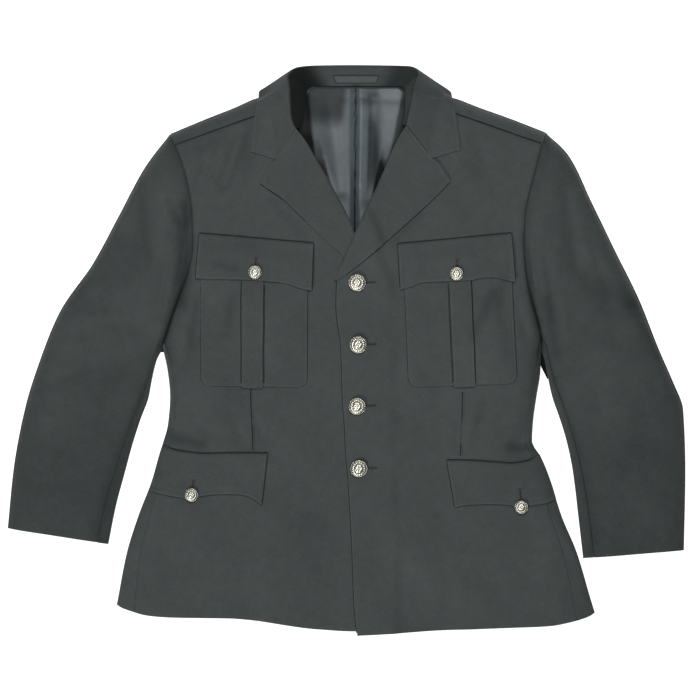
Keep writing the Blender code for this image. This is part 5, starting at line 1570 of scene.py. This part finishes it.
for half in (RIGHT, LEFT):
    pocket = BREAST_POCKETS[half.name]
    corners = pocket["pouch"]
    width, depth = abs(corners[0][0] - corners[1][0]), abs(corners[0][1] - corners[2][1])
    across, down = grid_of(width, depth, 3.0)
    short = np.clip(POUCH_CORNER - (1 - down) * depth, 0, POUCH_CORNER)
    narrow = (POUCH_CORNER - np.sqrt(POUCH_CORNER ** 2 - short ** 2)) / width
    across = narrow + across * (1 - 2 * narrow)
    patch("breast_pocket_" + half.name, half, quad(corners, across, down), pouch_rise(across, down),
          (), ("first", "last", "high"), 2.6)

    across, down = grid_of(PLEAT_PARTS[1] * width - PLEAT_PARTS[0] * width, depth, 3.0)
    across = PLEAT_PARTS[0] + across * (PLEAT_PARTS[1] - PLEAT_PARTS[0])
    down = 0.04 + down * 0.975
    patch("breast_pleat_" + half.name, half, quad(corners, across, down), pouch_rise(across, down) + PITCH - 0.1,
          (), ("first", "last"), 1.6, PLEAT_WALL - 0.1)

    corners = pocket["flap"]
    across, down = grid_of(150.0, 60.0, 2.6)
    plan = quad(corners, across, down)
    plan[..., 1] += hermite(FLAP_EDGE[half.name], across) * down
    belly = FLAP_BELLY * np.exp(-((across - 0.5) / 0.22) ** 2)
    rise = FLAP_SEWN + ease(down / 0.5) * (FLAP_LOOSE - FLAP_SEWN + belly)
    patch("breast_flap_" + half.name, half, plan, rise, ("low",), ("first", "last", "high"), 6.5)
print("breast pockets done")

# %% [markdown]
# ## Hip flaps
#
# The hip pockets are inside, so only their flaps show. Each runs from its front end back to the
# side fold, and its lower edge is shaped.

# %% Hip flaps
# Hip flaps, from the front end to the side fold.
HIP_FLAPS = {
    # top front, top side, low front, low side, button
    "right": ((-104, -136), (-242, -126), (-112, -204), (-257, -186), (-204, -191)),
    "left": ((132, -145), (253.5, -136), (143, -207), (278, -195), (230, -206)),
}
# Edges of the hip flaps, above the straight line, by the part of the width from the front end.
HIP_EDGE = {
    "right": [(0.0, 0.0), (0.105, 8.7), (0.19, 10.4), (0.32, 8.7), (0.56, 1.0), (0.64, -7.5), (0.71, -4.0),
              (0.84, -2.8), (1.0, 0.0)],
    "left": [(0.0, 0.0), (0.11, 1.7), (0.3, 0.9), (0.44, -1.2), (0.55, -4.0), (0.64, -13.0), (0.72, -6.5),
             (0.88, -5.3), (1.0, 0.0)],
}
HIP_TOP = {
    "right": [(0.0, 0.0), (0.36, -3.3), (0.65, -6.6), (0.87, -4.9), (1.0, 0.0)],
    "left": [(0.0, 0.0), (0.23, -2.6), (0.55, -8.0), (0.72, -10.8), (0.84, -9.9), (0.91, -8.4), (0.97, -2.4),
             (1.0, 0.0)],
}
HIP_SEWN = PITCH + 0.3
HIP_LOOSE = PITCH + 1.0


for half in (RIGHT, LEFT):
    top_front, top_side, low_front, low_side, _ = HIP_FLAPS[half.name]
    across, down = grid_of(140.0, 66.0, 2.6)
    plan = quad((top_front, top_side, low_front, low_side), across, down)
    plan[..., 1] += hermite(HIP_EDGE[half.name], across) * down + hermite(HIP_TOP[half.name], across) * (1 - down)
    limit = half.side_x(plan[..., 1]) - half.out * 2.0
    over = (plan[..., 0] - limit) * half.out
    plan[..., 0] = np.where(over > 0, limit + half.out * 0.02 * np.minimum(over, 0.0), plan[..., 0])
    rise = HIP_SEWN + (HIP_LOOSE - HIP_SEWN) * ease(down / 0.3)
    patch("hip_flap_" + half.name, half, plan, rise, ("low",), ("first", "high"), 6.5)
print("hip flaps done")

# %% [markdown]
# ## Lining and hanger strap
#
# The back lining shows in the neck. It is cut wider than the back, and the spare cloth makes a
# loose pleat down the middle and soft folds beside it.

# %% Lining and strap
LINING = [
    # y, x at the wearer's right, x at the wearer's left
    (125, -12, 34),
    (165, -26, 50),
    (205, -48, 68),
    (250, -74, 88),
    (290, -92, 108),
    (320, -74, 96),
    (345, -42, 68),
]
LINING_WALL = 1.0
LINING_FOLDS = [
    # name, start, end, half width, height
    ("centre pleat", (11, 346), (11, 150), 4.0, 3.5),
    ("right of the pleat", (36, 330), (30, 200), 9.0, 2.5),
    ("left of the pleat", (-22, 320), (-8, 210), 10.0, 1.8),
]


LINING_CREASES = [
    # name, start, end, half width, height
    ("beside the collar, right", (-66, 300), (-44, 240), 7.0, 1.2),
    ("beside the collar, left", (88, 306), (66, 236), 8.0, 1.0),
    ("low, right", (-34, 250), (-6, 170), 5.0, 0.9),
    ("low, left", (52, 250), (24, 160), 6.0, 0.8),
    ("beside the pleat", (20, 330), (17, 220), 3.0, -0.6),
    ("across the top", (-40, 334), (70, 330), 5.0, 0.5),
]


# Painted shade and painted sheen on the lining, as bands: dark in the centre pleat and where the collar and fronts
# shade it, lighter where its folds catch the light.
LINING_PAINTED_SHADE_AND_SHEEN = [
    # name, y top, y bottom, left edge top, bottom, right edge top, bottom, soft left, soft right, change
    ("centre pleat", 430, 60, 10.9, 9.2, 13.3, 11.6, 1.2, 1.2, -0.9),
    ("sheen beside the pleat", 380, 150, 13.5, 12.0, 27.0, 22.0, 3.0, 3.0, 0.15),
    ("wedge", 338, 186, 30.0, 26.0, 35.0, 55.0, 3.0, 14.0, -0.68),
    ("top, right", 376, 286, -60.0, -44.0, 6.0, -6.0, 10.0, 14.0, -0.65),
    ("top, left", 372, 312, 18.0, 20.0, 50.0, 36.0, 6.0, 12.0, -0.45),
    ("under the right front", 380, 232, -100.0, -100.0, -55.0, -39.0, 2.0, 5.0, -0.85),
    ("along the right lapel", 292, 116, -90.0, -60.0, -40.0, 7.5, 2.0, 4.0, -0.8),
    ("under the left front", 380, 214, 81.0, 49.0, 130.0, 130.0, 4.0, 2.0, -0.8),
    ("along the left lapel", 280, 116, 51.0, 14.0, 120.0, 90.0, 4.0, 2.0, -0.75),
    ("sheen, right", 310, 190, -34.0, -14.0, -6.0, 4.0, 12.0, 10.0, 0.16),
    ("sheen, left", 330, 250, 52.0, 44.0, 78.0, 60.0, 10.0, 8.0, 0.12),
]


def bands(rows, x, y):
    """Sum of bands between two slanted lines, each side with its own softness."""
    total = np.zeros(np.shape(x))
    for _, top, bottom, left_top, left_low, right_top, right_low, soft_left, soft_right, change in rows:
        part = np.clip((top - y) / (top - bottom), 0, 1)
        left = left_top + part * (left_low - left_top)
        right = right_top + part * (right_low - right_top)
        inside = ease(part / 0.3) * ease((1 - part) / 0.3)
        total = total + change * inside * ease((x - left) / soft_left + 0.5) * ease((right - x) / soft_right + 0.5)
    return total


def lining_places():
    y = np.linspace(345, 125, 90)
    first, last = hermite(column(LINING, 1), y), hermite(column(LINING, 2), y)
    parts = np.linspace(0, 1, 90)
    return first[:, None] + parts * (last - first)[:, None], np.repeat(y[:, None], 90, axis=1)


x, y = lining_places()
high = bells(LINING_FOLDS + LINING_CREASES, x, y)
ramp = COLLAR_LIFT * ease((COLLAR_HALF - abs(x - COLLAR_MIDDLE_X)) / 14) * ease((y - 225) / 92)
points = np.stack([x, y, WALL + 1.4 + LINING_WALL + ramp + high], axis=-1)
normal = grid_normals(points)
normal = normal * np.sign(normal[..., 2:].mean())
# The lining's colour carries the painted shade and sheen of the bands.
shade = np.clip(1 + bands(LINING_PAINTED_SHADE_AND_SHEEN, x, y), 0.08, 1.3)
sheets["back_lining"] = (points, normal)
shell("back_lining_cloth", points, normal, LINING_WALL - 0.2, SATIN, "back_lining", shade=shade)

STRAP_WALL = 1.2
STRAP_PARTS = (0.12, 0.42)    # its two edges, as shares of the way up the stand
STRAP_STATIONS = (-3, 5)      # from and to, counted from the collar's middle


middle = COLLAR_STATIONS // 2
stand = finer(collar_points, np.linspace(middle + STRAP_STATIONS[0], middle + STRAP_STATIONS[1] - 1, 30),
              np.interp(np.linspace(*STRAP_PARTS, 9), STAND_PARTS, np.arange(4)))
normal = grid_normals(stand)
normal = normal * np.sign(normal[15, 4, 2])
runs = side_runs(stand)
relief, shade = dress(runs, edges=("first", "last"), stitch=2.0)
nearest = np.minimum(np.minimum(runs["first"], runs["last"]), np.minimum(runs["low"], runs["high"]))
# The strap's colour is 1.3 times the wool's, with painted shade along all four of its edges.
shade = 1.3 - 0.9 * np.exp(-(nearest / 0.9) ** 2)
outer = stand + normal * (STRAP_WALL + LAYER_GAP + relief)[..., None]
shell("hanger_strap_cloth", outer, normal, STRAP_WALL - 0.1, WOOL, "hanger_strap", shade=shade)
print("lining and strap done")

# %% [markdown]
# ## Buttons
#
# Each button is a domed disc, turned about its own axis from a short profile. Its relief is worked
# out from waves round that axis: a twisted rope at the rim, a ring of leaves, and a plain rosette
# with six petals.

# %% Buttons
FRONT_BUTTONS = [(14, 88), (15, 7), (14, -74), (16, -156)]
BIG_BUTTON = 11.5
SMALL_BUTTON = 9.0


BUTTON_RIM = [
    # share of the radius, height in mm for a 23 mm button
    (0.0, 5.1), (0.2, 5.0), (0.4, 4.7), (0.6, 4.2), (0.74, 3.7), (0.84, 3.15), (0.9, 3.3), (0.96, 3.1), (1.0, 2.5),
]
BUTTON_TURNS = 144


def ridge(share, middle, half_width):
    return np.exp(-((share - middle) / half_width) ** 2)


def button_relief(share, angle):
    rope = ridge(share, 0.925, 0.045) * (0.35 + 0.45 * np.cos(30 * angle + 26 * (share - 0.925)))
    leaves = ridge(share, 0.68, 0.1) * 0.55 * np.abs(np.cos(9 * angle)) ** 0.7
    petals = ridge(share, 0.3, 0.13) * 0.6 * np.abs(np.cos(3 * angle)) ** 0.6
    return rope + leaves + petals + 0.5 * ridge(share, 0.0, 0.09) - 0.25 * ridge(share, 0.49, 0.03)


def make_button(name, half, place, rise, radius):
    at, way = on_front(half, np.array([float(place[0])]), np.array([float(place[1])]), np.array([rise]))
    shares = np.concatenate([np.linspace(0.02, 0.84, 30), np.linspace(0.86, 1.0, 12)])
    angles = np.linspace(0, 2 * math.pi, BUTTON_TURNS, endpoint=False)
    share, angle = np.meshgrid(shares, angles, indexing="ij")
    lift = button_relief(share, angle)
    height = (hermite(BUTTON_RIM, share) + lift) * radius / BIG_BUTTON
    rings = [np.stack([share * radius * np.cos(angle), share * radius * np.sin(angle), height], axis=-1)]
    for low_share, low in ((0.95, 1.5), (0.6, 0.4)):
        rings.append(np.stack([low_share * radius * np.cos(angles), low_share * radius * np.sin(angles),
                               np.full(BUTTON_TURNS, low)], axis=-1)[None])
    local = np.concatenate(rings)
    up = way[0]
    first = unit(np.cross([0.0, 1.0, 0.0], up))
    second = np.cross(up, first)
    points = at[0] + local[..., :1] * first + local[..., 1:2] * second + local[..., 2:] * up
    count = len(points)
    number = np.arange(count * BUTTON_TURNS).reshape(count, BUTTON_TURNS)
    step = np.roll(number, -1, axis=1)
    faces = np.stack([number[:-1], number[1:], step[1:], step[:-1]], axis=-1).reshape(-1, 4).tolist()
    mesh = bpy.data.meshes.new(name)
    faces += [number[0].tolist(), number[-1, ::-1].tolist()]
    mesh.from_pydata((points.reshape(-1, 3) * MM).tolist(), [], faces)
    mesh.shade_smooth()
    mesh.materials.append(METAL)
    # Painted shade: the hollows of the relief are painted darker, down to 0.22, and the rim's sides and underside
    # 0.75, as shade would darken them.
    shade = np.full(points.shape[:2], 0.75)
    shade[:len(shares)] = 0.22 + 0.78 * np.clip(lift / 0.5, 0, 1) ** 0.8
    mesh.attributes.new("shade", "FLOAT", "POINT").data.foreach_set("value", shade.astype(np.float32).ravel())
    piece = bpy.data.objects.new(name, mesh)
    bpy.context.scene.collection.objects.link(piece)
    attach(piece, "root")
    return piece


button_rows = [("front_button_%d" % number, LEFT, place, 0.0, BIG_BUTTON)
               for number, place in enumerate(FRONT_BUTTONS, start=1)]
for half in (RIGHT, LEFT):
    button_rows.append(("breast_button_" + half.name, half, BREAST_POCKETS[half.name]["button"],
                        FLAP_LOOSE + FLAP_BELLY, SMALL_BUTTON))
    button_rows.append(("hip_button_" + half.name, half, HIP_FLAPS[half.name][4], HIP_LOOSE, SMALL_BUTTON))
for node, *values in button_rows:
    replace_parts(make_button(node + "_metal", *values), node)
print("buttons:", len(button_rows))

# %% [markdown]
# ## Stitches, darts and buttonholes
#
# Topstitching runs 4 mm inside the edges of the front, lapels and collar, and 6.5 mm inside the
# flaps. Every stitch is one small grain of thread. Their lines are read from the finished grids,
# so they lie exactly in the channels that dress pressed into the cloth.

# %% Stitches
def line_inside(name, side, distance, trim=(4.0, 4.0)):
    """Points and normals of a line that runs inside one side of a finished piece."""
    points, normal = sheets[name]
    if side in ("low", "high"):
        points, normal = points.transpose(1, 0, 2), normal.transpose(1, 0, 2)
    if side in ("high", "last"):
        points, normal = points[:, ::-1], normal[:, ::-1]
    found = []
    for row, ways in zip(points, normal):
        run = run_length(row)
        found.append([np.interp(distance, run, values) for values in np.column_stack([row, ways]).T])
    found = np.array(found)
    run = run_length(found[:, :3])
    return found, run, trim


def spots(line, pitch):
    """Places, ways and normals every pitch along a line."""
    found, run, trim = line
    count = max(int((run[-1] - trim[0] - trim[1]) / pitch), 2)
    at = np.linspace(trim[0], run[-1] - trim[1], count)
    values = np.stack([np.interp(at, run, found[:, k]) for k in range(6)], axis=-1)
    return values[:, :3], unit(np.gradient(values[:, :3], axis=0)), unit(values[:, 3:])


def grains(name, rows, length, radius, material):
    """One mesh of many short threads: each a four-sided spindle along its way."""
    place, way, normal = (np.concatenate(parts) for parts in zip(*rows))
    across = unit(np.cross(normal, way))
    normal = np.cross(way, across)
    rings = np.array([(-0.5, 0.35), (-0.25, 1.0), (0.25, 1.0), (0.5, 0.35)])
    turn = np.radians([0, 90, 180, 270])
    ring = (across[:, None, None] * np.cos(turn)[None, None, :, None]
            + normal[:, None, None] * np.sin(turn)[None, None, :, None]) * rings[None, :, None, 1:] * radius
    corners = place[:, None, None] + way[:, None, None] * rings[None, :, None, :1] * length + ring
    number = np.arange(16).reshape(4, 4)
    step = np.roll(number, -1, axis=1)
    faces = np.stack([number[:-1], step[:-1], step[1:], number[1:]], axis=-1).reshape(-1, 4)
    faces = np.concatenate([faces, number[:1, ::-1], number[-1:]])
    faces = (faces[None] + 16 * np.arange(len(place))[:, None, None]).reshape(-1, 4)
    piece = make_mesh(name, corners.reshape(-1, 3), faces, material)
    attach(piece, "root")
    return len(place)


STITCH = 2.7
TOPSTITCHES = [
    # piece, side, distance in, clear at both ends
    ("front_left", "last", 4.0, (6.0, 260.0)),
    ("lapel_right", "last", 4.0, (60.0, 4.0)),
    ("lapel_right", "high", 4.0, (70.0, 4.0)),
    ("lapel_left", "last", 4.0, (8.0, 4.0)),
    ("lapel_left", "high", 4.0, (70.0, 4.0)),
    ("collar", "last", 4.0, (4.0, 4.0)),
    ("collar", "low", 4.0, (75.0, 4.0)),
    ("collar", "high", 4.0, (75.0, 4.0)),
]
for half in (RIGHT, LEFT):
    for edge in ("first", "last", "high"):
        TOPSTITCHES.append(("breast_pocket_" + half.name, edge, 2.6, (2.6, 2.6)))
        TOPSTITCHES.append(("breast_flap_" + half.name, edge, 6.5, (6.5, 6.5)))
    for edge in ("first", "high"):
        TOPSTITCHES.append(("hip_flap_" + half.name, edge, 6.5, (6.5, 6.5)))
stitch_count = 0
for piece_name in dict.fromkeys(row[0] for row in TOPSTITCHES):
    lines = [spots(line_inside(*row), STITCH) for row in TOPSTITCHES if row[0] == piece_name]
    stitch_count += grains(piece_name + "_stitches", lines, 2.0, 0.3, THREAD)
print("topstitches:", stitch_count)

# %% Darts and buttonholes
def on_sheet(name, places):
    """Points and normals of a finished piece at plan places, from the nearest grid point's plane."""
    points, normal = sheets[name]
    points, normal = points.reshape(-1, 3), normal.reshape(-1, 3)
    found = []
    for place in np.asarray(places, dtype=float):
        near = ((points[:, :2] - place) ** 2).sum(axis=1).argmin()
        away = place - points[near, :2]
        z = points[near, 2] - (normal[near, :2] @ away) / normal[near, 2]
        found.append([*place, z, *normal[near]])
    return np.array(found)


def ribbon(name, found, profile, material):
    """A narrow closed strip along a line, with its profile given across."""
    points, normal = found[:, :3], unit(found[:, 3:])
    way = unit(np.gradient(points, axis=0))
    across = np.cross(normal, way)
    fade = np.minimum(np.arange(len(points)), np.arange(len(points))[::-1])
    fade = ease(fade / 4.0)[:, None]
    offset, rise, shade = (np.array(values) for values in zip(*profile))
    top = points[:, None] + across[:, None] * offset[None, :, None] + normal[:, None] * (rise[None] * fade)[..., None]
    low = points[:, None] + across[:, None] * offset[None, :, None] - normal[:, None] * 0.7
    faces = wall_faces(*top.shape[:2], np.ones((len(points) - 1, len(offset) - 1), dtype=bool))
    corners = np.concatenate([top.reshape(-1, 3), low.reshape(-1, 3)])
    if volume_sign(corners, faces) < 0:
        faces = faces[:, ::-1]
    shades = np.tile(np.broadcast_to(shade, top.shape[:2]).ravel(), 2)
    uv = corners[:, :2]
    piece = make_mesh(name, corners, faces, material, uv, shades)
    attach(piece, "root")


# The middle of a dart's profile is painted dark, as the shade in its seam.
DART_PROFILE = [
    # across, rise, shade
    (-3.0, 0.03, 1.0), (-1.8, 0.1, 1.0), (-0.8, 0.2, 0.85), (-0.35, 0.05, 0.2), (0.35, 0.05, 0.2), (0.8, 0.2, 0.85),
    (1.8, 0.1, 1.0), (3.0, 0.03, 1.0),
]
SLIT_PROFILE = [(-0.45, 0.1, 1.0), (0.0, 0.13, 1.0), (0.45, 0.1, 1.0)]
DARTS = [
    # name, piece, places from the top down
    ("dart_right", "front_right", [(-126, -47), (-125.5, -75), (-124, -105), (-123, -134)]),
    ("dart_left", "front_left", [(152.5, -55), (152, -80), (151, -110), (149.8, -139)]),
]
for name, piece_name, places in DARTS:
    path = along(places, np.linspace(0, 1, 42))
    ribbon(name, on_sheet(piece_name, path), DART_PROFILE, WOOL)

def painted_shadow_line(name, piece_name, edge, below, out=0.55, half_width=0.6, trim=(0.0, 0.0)):
    """A strip painted near black on the cloth just outside a piece's edge, as the shadow that the edge casts there.
    """
    found, run, _ = line_inside(piece_name, edge, 0.0)
    inner, _, _ = line_inside(piece_name, edge, 1.2)
    step = found[:, :2] - inner[:, :2]
    wide = np.linalg.norm(step, axis=1) > 0.2
    found, run, away = found[wide], run[wide] - run[wide][0], unit(step[wide])
    start = trim[0] if trim[0] >= 0 else run[-1] + trim[0]
    stop = run[-1] - trim[1]
    at = np.linspace(start, stop, max(int((stop - start) / 2.5), 6))
    place = np.stack([np.interp(at, run, (found[:, :2] + away * out)[:, k]) for k in range(2)], axis=-1)
    ribbon(name, on_sheet(below, place), [(-half_width, 0.03, 1.0), (0.0, 0.1, 1.0), (half_width, 0.03, 1.0)], SHADOW_BLACK)


# Painted shadows: near-black strips on the cloth just outside the edges of pieces that lie on it, where those edges
# cast shade.
PAINTED_SHADOW_LINES = [
    # name, piece, side, cloth below, distance out, half width, clear at both ends (a first one
    # below zero is the distance from the end at which the line starts)
    ("front_gap", "front_left", "last", "front_right", 0.35, 0.8, (4.0, 236.0)),
    ("lapel_right_gap", "lapel_right", "last", "front_right", 0.3, 0.6, (110.0, 0.0)),
    ("lapel_left_gap", "lapel_left", "last", "front_left", 0.35, 1.0, (6.0, 0.0)),
    ("lapel_right_notch_gap", "lapel_right", "last", "front_right", 0.5, 1.3, (-36.0, 12.0)),
]
for half in (RIGHT, LEFT):
    own = half.name
    pouch, pleat, flap, hip, front = (part + own for part in ("breast_pocket_", "breast_pleat_", "breast_flap_", "hip_flap_", "front_"))
    PAINTED_SHADOW_LINES += [
        ("flap_%s_gap_top" % own, flap, "low", front, 0.35, 1.15, (0.0, 0.0)),
        ("flap_%s_gap_front" % own, flap, "last", front, 0.35, 0.95, (0.0, 0.0)),
        ("flap_%s_gap_side" % own, flap, "first", front, 0.3, 0.8, (0.0, 0.0)),
        ("pleat_%s_gap_front" % own, pleat, "last", pouch, 0.6, 1.7, (12.0, 2.0)),
        ("pleat_%s_gap_side" % own, pleat, "first", pouch, 0.5, 1.4, (12.0, 2.0)),
        ("pouch_%s_gap_front" % own, pouch, "last", front, 0.25, 0.5, (30.0, 8.0)),
        ("pouch_%s_gap_side" % own, pouch, "first", front, 0.25, 0.5, (30.0, 8.0)),
        ("hip_%s_gap_top" % own, hip, "low", front, 0.35, 1.2, (0.0, 10.0)),
        ("hip_%s_gap_front" % own, hip, "first", front, 0.35, 0.95, (0.0, 0.0)),
        ("hip_%s_gap_low" % own, hip, "high", front, 0.25, 0.55, (0.0, 10.0)),
    ]
for row in PAINTED_SHADOW_LINES:
    painted_shadow_line(*row)
print("gap lines:", len(PAINTED_SHADOW_LINES))

HOLES = [("front_button_%d" % (number + 1), "front_left", (x - 2, y), (x + 25, y + 1))
         for number, (x, y) in enumerate(FRONT_BUTTONS)]
HOLES += [
    ("breast_hole_right", "breast_flap_right", (-120, 102), (-118, 121)),
    ("breast_hole_left", "breast_flap_left", (145, 100), (144.5, 119)),
    ("hip_hole_right", "hip_flap_right", (-204, -191), (-201, -171)),
    ("hip_hole_left", "hip_flap_left", (230, -206), (228, -183)),
]
for name, piece_name, start, end in HOLES:
    start, end = np.array(start, dtype=float), np.array(end, dtype=float)
    way = unit(end - start)
    across = np.array([-way[1], way[0]])
    length = np.linalg.norm(end - start)
    path = start + np.linspace(0, 1, 24)[:, None] * (end - start)
    # The slit is a strip painted near black, as the shadow inside the buttonhole.
    ribbon(name + "_slit", on_sheet(piece_name, path), SLIT_PROFILE, SHADOW_BLACK)
    count = int(length / 0.62)
    rows = []
    for out in (-1.15, 1.15):
        middle = start + np.linspace(0, 1, count)[:, None] * (end - start) + across * out
        found = on_sheet(piece_name, middle)
        rows.append((found[:, :3], np.tile([*across, 0.0], (count, 1)), found[:, 3:]))
    bar_half = 1.8 if piece_name == "front_left" else 4.0
    bar = end + np.linspace(-1, 1, 12)[:, None] * across * bar_half
    found = on_sheet(piece_name, bar)
    rows.append((found[:, :3], np.tile([*way, 0.0], (12, 1)), found[:, 3:]))
    grains(name + "_purl", rows, 1.5, 0.34, DARK_THREAD)
print("darts:", len(DARTS), "buttonholes:", len(HOLES))

# %% Finish
low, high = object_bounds()
print("box:", np.round(low, 4).tolist(), np.round(high, 4).tolist())
